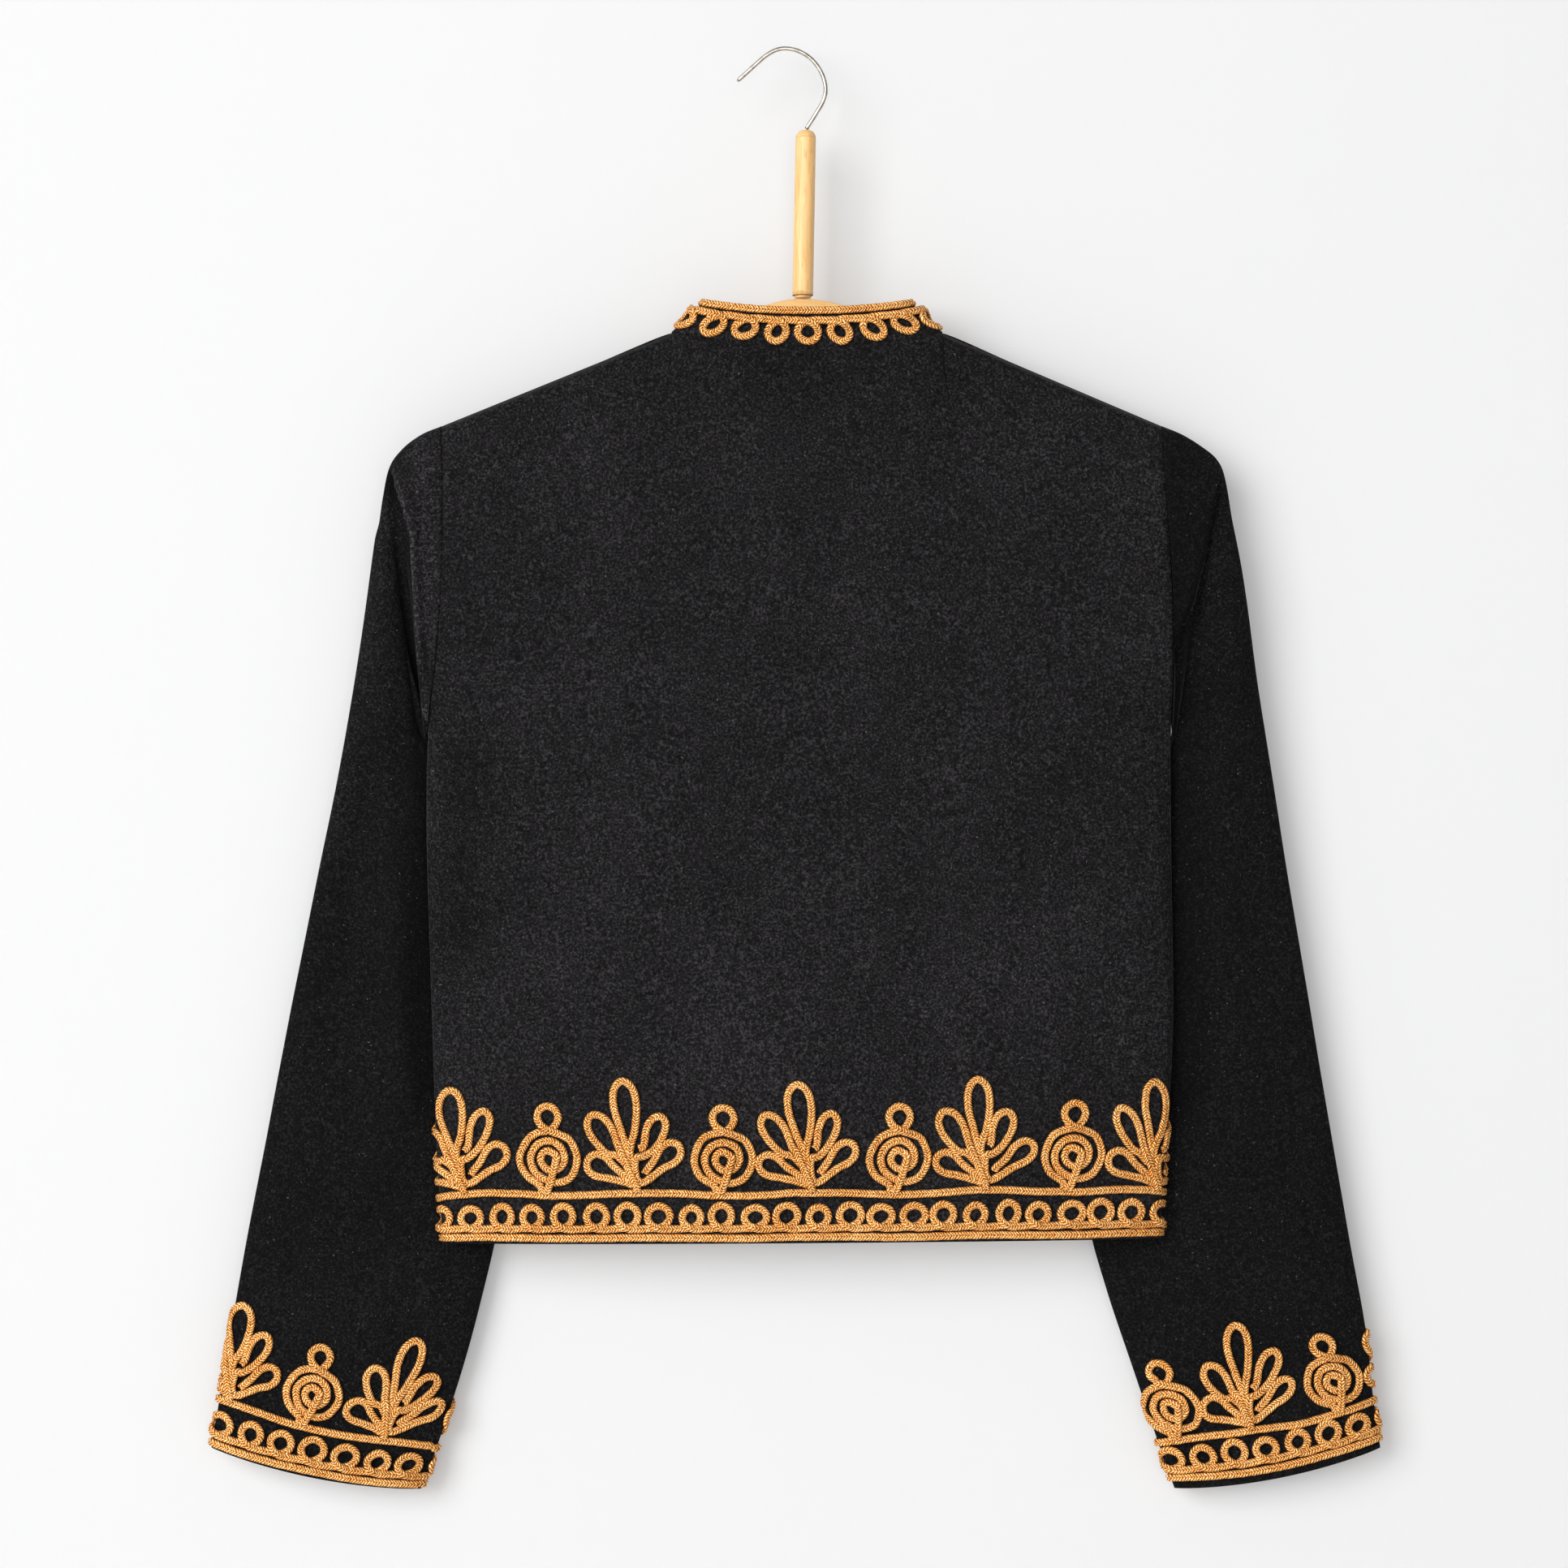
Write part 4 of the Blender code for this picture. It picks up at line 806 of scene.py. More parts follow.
woodLook = {
    "pale": (0.860, 0.545, 0.225),
    "deep": (0.730, 0.400, 0.135),
    "pore": (0.400, 0.170, 0.045),
    "poreShare": 0.6,
    "roughness": (0.38, 0.55),
}


# Beech: long grain with short dark flecks. The grain runs down the neck or along the bar.
def makeBeech(name, grainScale):
    finish = Finish(name)
    place = finish.add("Mapping", {"Vector": finish.coordinates(), "Scale": grainScale}).outputs["Vector"]
    grain = finish.noise(place, 1.0, 5.0, 0.6, 0.6)
    colour = finish.ramp(grain, ((0.30, woodLook["deep"]), (0.62, woodLook["pale"])))
    pores = finish.ramp(finish.noise(place, 3.1, 2.0, 0.5), ((0.62, black), (0.72, white)))
    share = finish.maths("MULTIPLY", pores, woodLook["poreShare"])
    return finish.surface({
        "Base Color": finish.mix(share, colour, woodLook["pore"]),
        "Roughness": finish.between(grain, *woodLook["roughness"]),
        "Coat Weight": 0.18,
        "Coat Roughness": 0.3,
        "Normal": finish.bump(grain, 0.15, 0.0005),
    })


wireLook = {"bright": (0.66, 0.61, 0.54), "dull": (0.40, 0.36, 0.31), "roughness": (0.20, 0.38)}


def makeWire():
    finish = Finish("bright steel wire")
    place = finish.coordinates()
    wear = finish.noise(place, 260.0, 4.0, 0.6)
    drawn = finish.noise(place, 1800.0, 2.0, 0.5)
    return finish.surface({
        "Base Color": finish.ramp(wear, ((0.35, wireLook["dull"]), (0.65, wireLook["bright"]))),
        "Metallic": 1.0,
        "Roughness": finish.between(wear, *wireLook["roughness"]),
        "Normal": finish.bump(drawn, 0.1, 0.0001),
    })


velvet = makeVelvet()
backing = makeBacking()
braid = makeBraid()
beechNeck = makeBeech("beech turned neck", (420.0, 420.0, 34.0))
beechEnd = makeBeech("beech end grain", (900.0, 900.0, 900.0))
beechBar = makeBeech("beech shaped bar", (30.0, 380.0, 380.0))
steelWire = makeWire()
print("materials made")


def makeCloth(node, grids, steps, creases, seed, armholeEdges=(), closed=False):
    outer, inner, shade = softenCloth(*grids, steps, creases, seed, armholeEdges, closed)
    piece = shellMesh(node + "_velvet", outer, inner, [velvet, backing], closed)
    # each point's velvet level, with its painted highlights and painted shade, for the velvet's colour
    nap = piece.data.attributes.new("nap", "FLOAT", "POINT")
    nap.data.foreach_set("value", np.tile(shade.ravel(), 2).astype(np.float32))
    finishPiece(piece, "black_velvet", node)
    return outer


panelSteps = (8, 10)          # finer rows and columns between those of the cut
sleeveSteps = (8, 13)
halves = {"Left": [(-1, c) for c in range(columns + 1)], "Right": [(1, c) for c in range(columns + 1)]}
backGrids = panelGrids(halves["Left"][:0:-1] + halves["Right"], "back")
frontGrids = {sideName: panelGrids(half, "front") for sideName, half in halves.items()}
backCloth = makeCloth("back", backGrids, panelSteps, "back", 11, (0, -1))
frontCloth, sleeveCloth = {}, {}
for sideName, edgeColumn, seed in (("Left", 0, 21), ("Right", -1, 31)):
    node, front = sideName.lower(), frontGrids[sideName]
    frontCloth[sideName] = makeCloth("front_" + node, front, panelSteps, "front", seed, (-1,))
    grids = sleeveGrids(sideName, backGrids[0][:, edgeColumn], front[0][:, -1])
    sleeveCloth[sideName] = makeCloth("sleeve_" + node, grids, sleeveSteps, "sleeve" + sideName, seed + 5,
                                      closed=True)
collarCloth = makeCloth("collar", collarGrids(), (8, 8), "none", 41)
print("cloth made")


# Cord is drawn flat, s along an edge of the cloth and e up from it, then laid on the cloth


def makeStrip(rows, middleColumn, measuredRow=0):
    points = np.array(rows, dtype=float)
    steps = np.linalg.norm(np.diff(points[measuredRow], axis=0), axis=1)
    along = np.concatenate([[0.0], np.cumsum(steps)])
    along -= np.interp(middleColumn, range(len(along)), along)
    rises = np.linalg.norm(np.diff(points[:, int(middleColumn)], axis=0), axis=1)
    up = np.concatenate([[0.0], np.cumsum(rises)])
    normals = unit(np.cross(np.gradient(points, axis=1), -np.gradient(points, axis=0)))
    return {"points": points, "normals": normals, "along": along, "up": up}


def onStrip(strip, s, e):
    column = np.interp(s, strip["along"], range(len(strip["along"])))
    row = np.interp(e, strip["up"], range(len(strip["up"])))
    left = np.minimum(column.astype(int), len(strip["along"]) - 2)
    low = np.minimum(row.astype(int), len(strip["up"]) - 2)
    across, rise = (column - left)[:, None], (row - low)[:, None]

    def mixed(grid):
        lower = blend(grid[low, left], grid[low, left + 1], across)
        upper = blend(grid[low + 1, left], grid[low + 1, left + 1], across)
        return blend(lower, upper, rise)

    return mixed(strip["points"]), unit(mixed(strip["normals"]))


cord = {
    "step": 1.1,              # mm between sections
    "lift": 0.25,
    "over": 1.75,             # how far a crossing strand climbs
    "section": (
        (-1.92, -0.15), (-2.32, 0.75), (-2.06, 1.70), (-1.34, 2.30), (-0.60, 2.20), (0.0, 1.90),
        (0.60, 2.20), (1.34, 2.30), (2.06, 1.70), (2.32, 0.75), (1.92, -0.15),
    ),
    "wobble": 0.16,
    "swell": 0.035,           # share by which the width comes and goes
    "highest": 1.6,           # the most that a strand lies over the others
}


def smoothRoute(route, step):
    route = np.array(route, dtype=float)
    padded = withEnds(route)
    fine = []
    for place in range(len(route) - 1):
        near = padded[place:place + 4]
        count = max(2, int(math.ceil(np.linalg.norm((near[2] - near[1])[:2]) / step)))
        fine += [onCurve(*near, turn / count) for turn in range(count)]
    fine.append(route[-1])
    return np.array(fine)


# One cord from its flat route: rows of (s, e, over), where over is 1 on top of a crossing
def layCord(strip, route, seed):
    draw = random.Random(seed)
    fine = smoothRoute(route, cord["step"])
    wobble = np.array([draw.uniform(-1, 1) for _ in fine])
    wobble = np.convolve(wobble, np.ones(5) / 5, mode="same") * cord["wobble"]
    base, normals = onStrip(strip, fine[:, 0], fine[:, 1])
    height = cord["lift"] + cord["over"] * np.clip(fine[:, 2], 0, cord["highest"])
    middle = base + normals * height[:, None]
    ahead = unit(np.gradient(middle, axis=0))
    sideways = unit(np.cross(normals, ahead))
    middle = middle + sideways * wobble[:, None]
    upward = np.cross(ahead, sideways)
    section = np.array(cord["section"])
    spread = 1 + cord["swell"] * np.sin(np.arange(len(fine)) * 0.9 + seed)
    rings = (middle[:, None] + sideways[:, None] * section[None, :, :1] * spread[:, None, None]
             + upward[:, None] * section[None, :, 1:])
    run = np.concatenate([[0.0], np.cumsum(np.linalg.norm(np.diff(middle, axis=0), axis=1))])
    return rings, run


# Faces of a closed tube from rings of points, its side first and then both ends
def tubeFaces(ringCount, size, first=0):
    faces = []
    for ring in range(ringCount - 1):
        for corner in range(size):
            a, b = first + ring * size + corner, first + ring * size + (corner + 1) % size
            faces.append((a, b, b + size, a + size))
    last = first + (ringCount - 1) * size
    return faces + [tuple(range(first + size - 1, first - 1, -1)), tuple(range(last, last + size))]


def cordPiece(name, routes, strip, seed, *nodes):
    points, faces, uvs = [], [], []
    size = len(cord["section"])
    acrossUv = np.linspace(0.0, 1.0, size)
    for number, route in enumerate(routes):
        rings, run = layCord(strip, route, seed + number)
        first = sum(len(block) for block in points)
        points.append(rings.reshape(-1, 3))
        uvs.append(np.stack([np.repeat(run / 10, size), np.tile(acrossUv, len(run))], axis=1))
        faces += tubeFaces(len(run), size, first)
    piece = addMesh(name, toWorld(np.concatenate(points)), faces, [braid], None, np.concatenate(uvs))
    flipIfInsideOut(piece)
    finishPiece(piece, "bronze_cord", *nodes)


trim = {
    "cutRows": 3,             # rows of the cut that a band's strip takes in
    "endMargin": 0.05,        # cords stop this far from a strip's ends
    "motifMargin": 2.6,
    "loopRoom": 7.0,          # half a loop's width, kept clear at a row's ends
    "runStep": 12.0,          # between the points of a straight run
    "edgeHeight": 3.6,
    "loopBase": 8.7,
    "guideHeight": 29.0,
    "motifHeight": 31.4,
    "guideWave": 0.9,
    "loopPitch": 18.7,
    # a running loop: along from its middle, up from its base, and 1 where it lies on top
    "loop": (
        (-4.6, 0.5, 0.0), (0.4, 0.9, 0.0), (4.2, 3.2, 0.0), (6.1, 7.0, 0.0), (4.7, 11.2, 0.0),
        (0.4, 13.3, 0.0), (-4.0, 11.4, 0.0), (-5.9, 7.2, 0.1), (-4.4, 3.2, 0.6), (-0.9, 0.9, 1.0),
        (3.6, 0.0, 0.5),
    ),
    "loopJitter": 0.8,
}

# A palmette's petals: lean in degrees, length, width, and where the petal springs from
petals = {
    "lowerLeft": (-61.0, 31.0, 12.0, (-1.5, 3.0)),
    "upperLeft": (-31.0, 46.0, 12.0, (-1.5, 3.5)),
    "middle": (-5.0, 57.0, 13.0, (-1.5, 6.5)),
    "upperRight": (20.0, 40.0, 10.5, (0.0, 6.5)),
    "lowerRight": (48.0, 33.0, 11.5, (1.0, 3.5)),
}
# where a petal's strand passes: share of its length, share of its half width
petalShape = (
    (0.50, 0.62), (0.74, 1.0), (0.92, 0.80), (1.0, 0.0), (0.92, -0.80), (0.74, -1.0), (0.50, -0.62),
)
# each palmette is four runs of cord: (s, e, over) points with the petals they go round
palmetteRuns = (
    ((-2.0, 8.0, 0.2), (-3.4, 19.0, 0.2), ("middle", -1), (-3.2, 24.0, 0.5), (-2.2, 12.0, 0.3)),
    ((-0.8, 2.0, 0.2), (-5.0, 7.0, 0.2), ("lowerLeft", 1), (-8.0, 5.0, 0.1), (-2.5, 3.0, 0.1)),
    ((1.5, 24.0, 0.2), ("upperRight", -1), (3.8, 19.6, 0.5), (0.8, 19.2, 0.8), (-0.6, 16.0, 0.8),
     (-0.4, 9.5, 0.8), (1.2, 5.4, 0.7), (5.0, 5.0, 0.3), ("lowerRight", 1), (6.0, 11.5, 0.0),
     (4.8, 9.5, 0.0)),
    ((0.6, -1.0, 0.7), (-0.4, 3.0, 1.1), (-2.6, 8.0, 1.2), (-5.5, 15.0, 1.0), (-8.5, 22.0, 0.7),
     ("upperLeft", 1), (-11.0, 20.0, 0.1), (-6.0, 15.0, 0.0)),
)

# A spiral from its foot to its crossing, over its top loop, and in to its centre
coilBefore = ((250.0, 16.3), (215.0, 16.6), (180.0, 16.8), (140.0, 16.5), (112.0, 16.2))
topLoop = (
    (1.2, 34.4, 0.0), (5.0, 38.4, 0.0), (6.0, 43.0, 0.0), (3.4, 47.2, 0.0), (-1.2, 48.2, 0.0),
    (-5.2, 45.4, 0.0), (-6.0, 41.0, 0.3), (-3.4, 36.8, 1.0), (1.6, 34.0, 1.0), (7.0, 32.0, 0.4),
)
coilAfter = (
    (38.0, 16.6), (0.0, 16.9), (-40.0, 16.2), (-75.0, 13.9), (-115.0, 11.8), (-150.0, 10.9),
    (-190.0, 10.6), (-235.0, 10.3), (-280.0, 10.1), (-325.0, 9.7), (-370.0, 9.0), (-415.0, 7.6),
    (-460.0, 6.0), (-520.0, 5.0), (-575.0, 4.6), (-625.0, 4.5),
)
coilCentre = 18.0
coilFoot = (-4.6, -2.2, 0.3)
coilTail = (
    (4.4, 19.6, 0.6), (3.9, 15.6, 1.1), (2.4, 10.0, 1.15), (0.6, 4.6, 1.1), (-1.0, 0.4, 0.7),
    (-2.0, -2.4, 0.5),
)


# Loops that fill a row evenly or, where one loop's place is given, stand off it by whole pitches
def loopMiddles(start, end, pitch, oneLoop=None):
    if oneLoop is None:
        count = round((end - start) / pitch)
        return [blend(start, end, (place + 0.5) / count) for place in range(count)]
    low, high = start + trim["loopRoom"] - oneLoop, end - trim["loopRoom"] - oneLoop
    return [oneLoop + place * pitch for place in range(int(low / pitch), int(high / pitch) + 1)]


def loopRow(start, end, height, direction, scale, middles, seed):
    draw = random.Random(seed)
    route = [(start, height, 0.0)]
    jitter = trim["loopJitter"]
    for middle in middles:
        middle += draw.uniform(-jitter, jitter)
        wide = scale * draw.uniform(0.90, 1.12)
        tall = scale * draw.uniform(0.92, 1.06)
        for along, up, over in trim["loop"]:
            if direction < 0:
                over = 1.0 - over if abs(up) < 3.5 else 0.0
            route.append((middle + along * wide, height + direction * up * tall, over))
    route.append((end, height, 0.0))
    return route


def straightRun(start, end, height, wave, seed):
    draw = random.Random(seed)
    phase = draw.uniform(0, 6.28)
    count = max(8, round((end - start) / trim["runStep"]))
    route = []
    for place in range(count + 1):
        s = blend(start, end, place / count)
        sway = wave * (math.sin(s / 15.7 + phase) + 0.4 * draw.uniform(-1, 1))
        route.append((s, height + sway, 0.0))
    return route


def petalPoints(name, direction, draw):
    lean, length, width, root = petals[name]
    turn = math.radians(lean + draw.uniform(-2.5, 2.5))
    length *= draw.uniform(0.96, 1.05)
    width *= draw.uniform(0.92, 1.08)
    points = []
    for share, swing in petalShape:
        reach, aside = length * share, direction * width / 2 * swing
        points.append((
            root[0] + reach * math.sin(turn) + aside * math.cos(turn),
            root[1] + reach * math.cos(turn) - aside * math.sin(turn),
            0.0,
        ))
    return points


def palmetteRoutes(seed):
    draw = random.Random(seed)
    routes = []
    for run in palmetteRuns:
        route = []
        for stop in run:
            if isinstance(stop[0], str):
                route += petalPoints(*stop, draw)
            else:
                route.append(stop)
        routes.append(route)
    return routes


def spiralRoutes(seed):
    draw = random.Random(seed)

    def around(rows):
        made = []
        for angle, radius in rows:
            turn = math.radians(angle)
            radius *= draw.uniform(0.975, 1.025)
            made.append((radius * math.cos(turn), coilCentre + radius * math.sin(turn), 0.0))
        return made

    return [[coilFoot, *around(coilBefore), *topLoop, *around(coilAfter), *coilTail]]


motifs = {"palmette": palmetteRoutes, "spiral": spiralRoutes}


def layBand(prefix, strip, seed, rise=(0.0, 0.0)):
    start, end = strip["along"][0] + trim["endMargin"], strip["along"][-1] - trim["endMargin"]
    edge = straightRun(start, end, trim["edgeHeight"] + rise[0], 0.3, seed)
    middles = loopMiddles(start, end, trim["loopPitch"])
    loops = loopRow(start, end, trim["loopBase"] + rise[0], 1, 1.0, middles, seed + 1)
    guide = straightRun(start, end, trim["guideHeight"] + rise[1], trim["guideWave"], seed + 2)
    for place, (kind, route) in enumerate((("edge", edge), ("loop", loops), ("guide", guide))):
        cordPiece(f"{prefix}_{kind}_braid", [route], strip, seed + place, f"{prefix}_{kind}_cord")


# A motif stands at its middle, made narrower or lower by its scale, and tilts to the right by degrees
def layMotif(prefix, kind, number, strip, middle, scale, seed, rise=0.0, tilt=0.0):
    low, high = strip["along"][0] + trim["motifMargin"], strip["along"][-1] - trim["motifMargin"]
    slant = math.tan(math.radians(tilt)) * scale[1]
    foot = trim["motifHeight"] + rise
    routes = []
    for route in motifs[kind](seed):
        routes.append([
            (min(max(middle + s * scale[0] + e * slant, low), high), foot + e * scale[1], over)
            for s, e, over in route
        ])
    cordPiece(f"{prefix}_{kind}_{number}_braid", routes, strip, seed, f"{prefix}_{kind}_{number}")


# Hem: from the left front's edge round the back to the right front's edge
hemRows = [
    np.concatenate([frontCloth["Left"][-1 - row], backCloth[-1 - row], frontCloth["Right"][-1 - row][::-1]])
    for row in range(trim["cutRows"] * panelSteps[0] + 1)
]
hemMiddle = frontCloth["Left"].shape[1] + columns * panelSteps[1]
hemStrip = makeStrip(hemRows, hemMiddle)
layBand("hem", hemStrip, 100)
hem = {"shift": 5.5, "backPitch": 50.7, "frontPitch": 47.6, "backSteps": 4}
for kind, places in (("palmette", range(-8, 9, 2)), ("spiral", range(-7, 8, 2))):
    for number, place in enumerate(places, start=1):
        onBack = min(abs(place), hem["backSteps"])
        reach = onBack * hem["backPitch"] + (abs(place) - onBack) * hem["frontPitch"]
        middle = hem["shift"] + math.copysign(reach, place)
        layMotif("hem", kind, number, hemStrip, middle, (1.0, 1.0), 200 + 7 * place)
print("hem trimmed")

# Cuffs: each strip starts and ends near the underarm seam
cuffs = {
    "tall": 0.94,
    "Left": {
        "kinds": ("palmette", "spiral"),
        "rise": (0.0, 0.0),   # of the edge cord and loops, and of the guide cord and motifs
        # each motif's middle, tilt and how wide it is
        "motifs": (
            (31.5, 11.0, 0.87), (-12.5, 0.0, 0.87), (-58.0, 4.0, 0.87),
            (-98.9, 0.0, 0.86), (-141.4, 0.0, 0.86), (-184.0, 0.0, 0.86),
        ),
    },
    "Right": {
        "kinds": ("spiral", "palmette"),
        "rise": (3.2, 1.2),
        "motifs": (
            (-49.0, 0.0, 0.87), (-9.0, 11.0, 0.87), (44.0, -8.0, 0.87),
            (84.6, 0.0, 0.84), (124.4, 0.0, 0.84), (164.4, 0.0, 0.84),
        ),
    },
}
around = 2 * armholeRows * sleeveSteps[1]
for sideName, seed in (("Left", 400), ("Right", 500)):
    quarter = armholeRows // 2 * sleeveSteps[1]
    left = sideName == "Left"
    first = 2 * quarter + (-1 if left else 1) * sleeveSteps[1]
    order = [(first - place) % around for place in range(around + 1)][::-1 if left else 1]
    sleeve = sleeveCloth[sideName]
    rows = [[sleeve[-1 - row][column] for column in order]
            for row in range(trim["cutRows"] * sleeveSteps[0] + 1)]
    strip = makeStrip(rows, order.index(quarter))
    prefix = "cuff_" + sideName.lower()
    cuff = cuffs[sideName]
    layBand(prefix, strip, seed, cuff["rise"])
    for place, (middle, tilt, wide) in enumerate(cuff["motifs"]):
        kind = cuff["kinds"][place % 2]
        layMotif(prefix, kind, place // 2 + 1, strip, middle, (wide, cuffs["tall"]), seed + 20 + place,
                 cuff["rise"][1], tilt)
print("cuffs trimmed")

# Collar: an edge cord along its top and loops hanging from a second cord
collarTrim = {"edge": 21.4, "loopLine": 15.6, "scale": 0.92, "pitch": 18.0, "oneLoop": 1.2, "margin": 0.6}
collarMiddle = (collarCloth.shape[1] - 1) // 2
collarStrip = makeStrip(list(collarCloth), collarMiddle, 8)
start = collarStrip["along"][0] + collarTrim["margin"]
end = collarStrip["along"][-1] - collarTrim["margin"]
cordPiece("collar_edge_braid", [straightRun(start, end, collarTrim["edge"], 0.12, 601)],
          collarStrip, 601, "collar_edge_cord")
collarLoops = loopRow(start, end, collarTrim["loopLine"], -1, collarTrim["scale"],
                      loopMiddles(start, end, collarTrim["pitch"], collarTrim["oneLoop"]), 602)
cordPiece("collar_loop_braid", [collarLoops], collarStrip, 602, "collar_loop_cord")
print("collar trimmed")

# Hanger
hanger = {
    "barBelowCrest": 2.9,
    "barCentreDrop": 146.6,
    "barHalfLength": 204.0,
    "barHeightCentre": 40.0,
    "barHeightEnd": 20.0,
    "barStations": 96,
    "barSides": 24,
    "barThick": 5.2,
    "barEndRound": 9.0,
    "barSpread": 1.15,        # sections stand closer near the middle
    "barSquare": (0.55, 0.575),
    "neckSides": 48,
    "neckTopX": 2.4,
    "neckFootX": 0.5,
    # the neck's turned outline: radius, drop
    "neckOutline": (
        (1.2, 46.9), (3.0, 47.3), (4.5, 48.2), (5.5, 49.8), (5.9, 51.6), (6.0, 56.0), (6.1, 100.0),
        (6.1, 141.6), (6.05, 142.6), (5.5, 143.4), (5.0, 144.2), (4.9, 146.2),
    ),
    "endRings": (10, 9),      # rings of end grain at the top and at the foot
    "wireRadius": 1.3,
    "wireSides": 20,
    "wireTip": (0.92, 0.55),  # the last two rings' share of the radius
    "wireRoute": (
        (14.1, 46.3), (19.4, 38.0), (24.0, 30.0), (25.6, 22.5), (23.4, 13.7), (17.8, 5.6),
        (9.6, 0.2), (0.0, -1.3), (-8.4, 2.0), (-17.6, 9.8), (-26.6, 18.0),
    ),
}


def barTop(out):
    side = -1 if out < neckX else 1
    neckOut = neckHalfWidth + side * neckX
    slope = (shoulderDrop - neckDrop) / (shoulderOut - neckOut)
    away = abs(out)
    crest = neckDrop - slope * neckOut + hanger["barBelowCrest"]
    peak = hanger["barCentreDrop"] - crest
    return crest + slope * away + math.hypot(away * slope, peak) - away * slope


def turns(size):
    return [2 * math.pi * corner / size for corner in range(size)]


def softSquare(value, power):
    return math.copysign(abs(value) ** power, value)


def tubePiece(name, slot, node, points, size, materials, faceMaterials=None):
    faces = tubeFaces(len(points) // size, size)
    piece = addMesh(name, toWorld(points), faces, materials, faceMaterials)
    flipIfInsideOut(piece)
    finishPiece(piece, slot, node)


def makeBar():
    points = []
    size, reach = hanger["barSides"], hanger["barHalfLength"]
    for place in range(hanger["barStations"] + 1):
        out = reach * softSquare(2 * place / hanger["barStations"] - 1, hanger["barSpread"])
        narrowing = float(smooth(abs(out) / reach))
        height = blend(hanger["barHeightCentre"], hanger["barHeightEnd"], narrowing)
        fromEnd = max(0.0, (reach - abs(out)) / hanger["barEndRound"])
        closing = math.sqrt(max(0.0, 1 - (1 - min(1.0, fromEnd)) ** 2)) * 0.75 + 0.25
        middle = barTop(out) + height / 2
        half, width = height / 2 * (0.6 + 0.4 * closing), hanger["barThick"] * closing
        for turn in turns(size):
            across = softSquare(math.sin(turn), hanger["barSquare"][0]) * width
            up = softSquare(math.cos(turn), hanger["barSquare"][1]) * half
            points.append((out, across, middle - up))
    tubePiece("hanger_bar_beech", "beech_wood", "hanger_bar", points, size, [beechBar])


def makeNeck():
    outline = refine(np.array(hanger["neckOutline"]), 3, 0)
    first, last = outline[0, 1], outline[-1, 1]
    size = hanger["neckSides"]
    points = []
    for radius, drop in outline:
        middle = blend(hanger["neckTopX"], hanger["neckFootX"], (drop - first) / (last - first))
        points += [(middle + radius * math.cos(t), radius * math.sin(t), drop) for t in turns(size)]
    rings = np.arange((len(outline) - 1) * size + 2) // size
    topRings, footRings = hanger["endRings"]
    endGrain = (rings < topRings) | (rings >= len(outline) - 1 - footRings)
    tubePiece("hanger_neck_beech", "beech_wood", "hanger_neck", points, size, [beechNeck, beechEnd],
              endGrain.astype(int))


def makeHook():
    route = refine(np.array(hanger["wireRoute"]), 8, 0)
    ahead = unit(np.gradient(route, axis=0))
    side = np.stack([-ahead[:, 1], ahead[:, 0]], axis=1)
    radii = np.full(len(route), hanger["wireRadius"])
    radii[-2:] *= hanger["wireTip"]
    points = []
    for middle, aside, radius in zip(route, side, radii):
        for turn in turns(hanger["wireSides"]):
            spot = middle + aside * radius * math.cos(turn)
            points.append((spot[0] - jacket["centreX"], radius * math.sin(turn), spot[1]))
    tubePiece("hanger_hook_wire", "steel_wire", "hanger_hook", points, hanger["wireSides"], [steelWire])


makeBar()
makeNeck()
makeHook()
print("hanger made")

# Studio: a pale wall close behind, seen from the front only, and a pale floor below
studio = {
    "wallBehind": 0.034,
    "wallSize": 3.4,
    "wallColour": (0.55, 0.55, 0.551),
    "wallGlow": 0.185,        # the wall is lit from behind too, so the shadow on it stays pale
    "floorBelow": 1.45,
    "floorSize": 8.0,
    "floorColour": (0.80, 0.80, 0.805),
    "world": 0.30,
    "keyPlace": (-3.9, -5.6, 1.5),
    "keySize": 4.6,
    "keyPower": 480.0,
    "fillPlace": (0.1, -3.3, -0.2),
    "fillSize": 1.6,
    "fillPower": 26.0,
    "lightsAim": (0.0, 0.0, -0.43),
    "cameraAway": 2.62,
    "framePixels": 1932,
    "mmPerPixel": 0.48,
    "centrePixel": (988, 62.5),
}


def plainFinish(name, colour):
    finish = Finish(name)
    finish.surface({"Base Color": colour, "Roughness": 0.9, "Specular IOR Level": 0.1})
    return finish


def flatPanel(name, corners, finish):
    return addMesh(name, corners, [(0, 1, 2, 3)], [finish.material])


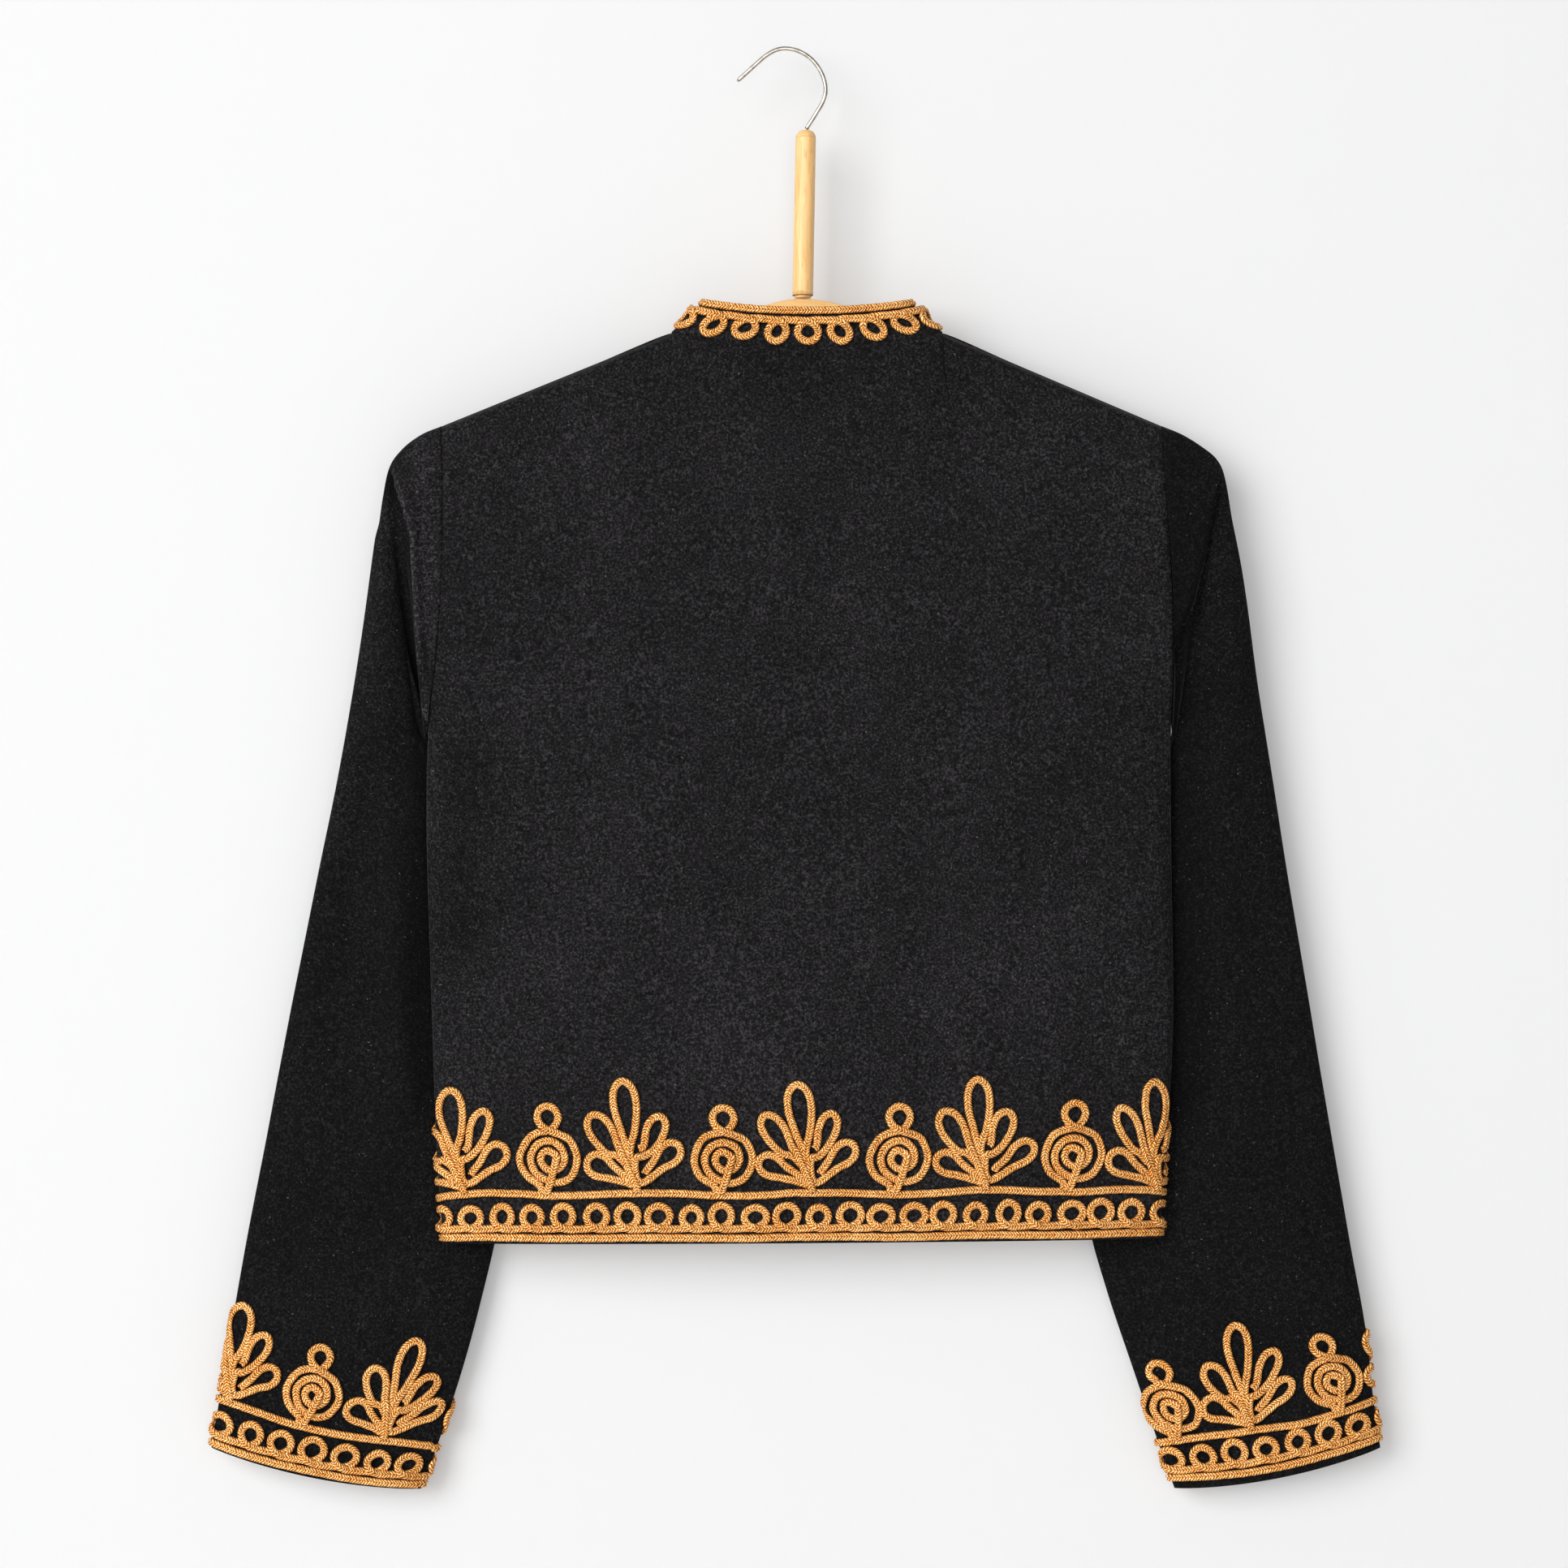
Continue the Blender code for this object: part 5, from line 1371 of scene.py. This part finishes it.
def makeStudio():
    pale = plainFinish("pale wall", studio["wallColour"])
    pale.surface({"Emission Color": white, "Emission Strength": studio["wallGlow"]})
    side = pale.add("NewGeometry", {}).outputs["Backfacing"]
    clear = pale.add("BsdfTransparent", {}).outputs["BSDF"]
    oneSided = pale.add("MixShader", {0: side, 1: pale.shader.outputs["BSDF"], 2: clear})
    pale.join(oneSided.outputs["Shader"], pale.nodes["Material Output"].inputs["Surface"])
    half, behind, low = studio["wallSize"] / 2, studio["wallBehind"], -studio["floorBelow"]
    high, wide = low + half * 2, studio["floorSize"] / 2
    flatPanel("pale_wall", [(-half, behind, low), (half, behind, low), (half, behind, high),
                                (-half, behind, high)], pale)
    flatPanel("pale_floor", [(-wide, -wide, low), (wide, -wide, low), (wide, wide, low),
                                 (-wide, wide, low)], plainFinish("pale floor", studio["floorColour"]))

    world = bpy.data.worlds.new("studio")
    bpy.context.scene.world = world
    world.use_nodes = True
    background = world.node_tree.nodes["Background"]
    background.inputs["Color"].default_value = (*white, 1.0)
    background.inputs["Strength"].default_value = studio["world"]
    for name in ("key", "fill"):
        light = bpy.data.lights.new(name, "AREA")
        light.size = studio[name + "Size"]
        light.energy = studio[name + "Power"]
        lamp = bpy.data.objects.new(name, light)
        lamp.location = studio[name + "Place"]
        x, y, z = np.array(studio["lightsAim"]) - np.array(studio[name + "Place"])
        lamp.rotation_euler = (math.atan2(math.hypot(x, y), -z), 0.0, math.atan2(-x, y))
        bpy.context.scene.collection.objects.link(lamp)


def makeCamera():
    data = bpy.data.cameras.new("camera")
    camera = bpy.data.objects.new("camera", data)
    bpy.context.scene.collection.objects.link(camera)
    half = studio["framePixels"] / 2
    x = ((half - studio["centrePixel"][0]) * studio["mmPerPixel"] + jacket["centreX"]) * mm
    z = -(half - studio["centrePixel"][1]) * studio["mmPerPixel"] * mm
    frameWidth = studio["framePixels"] * studio["mmPerPixel"] * mm
    data.sensor_fit = "HORIZONTAL"
    data.sensor_width = 36.0
    data.lens = 36.0 * studio["cameraAway"] / frameWidth
    data.clip_start, data.clip_end = 0.1, 30.0
    camera.location = (x, -studio["cameraAway"], z)
    camera.rotation_euler = (math.pi / 2, 0.0, 0.0)
    bpy.context.scene.camera = camera


makeStudio()
makeCamera()
bpy.context.scene.view_settings.view_transform = "Standard"
bpy.context.scene.view_settings.look = "None"
print("studio ready")
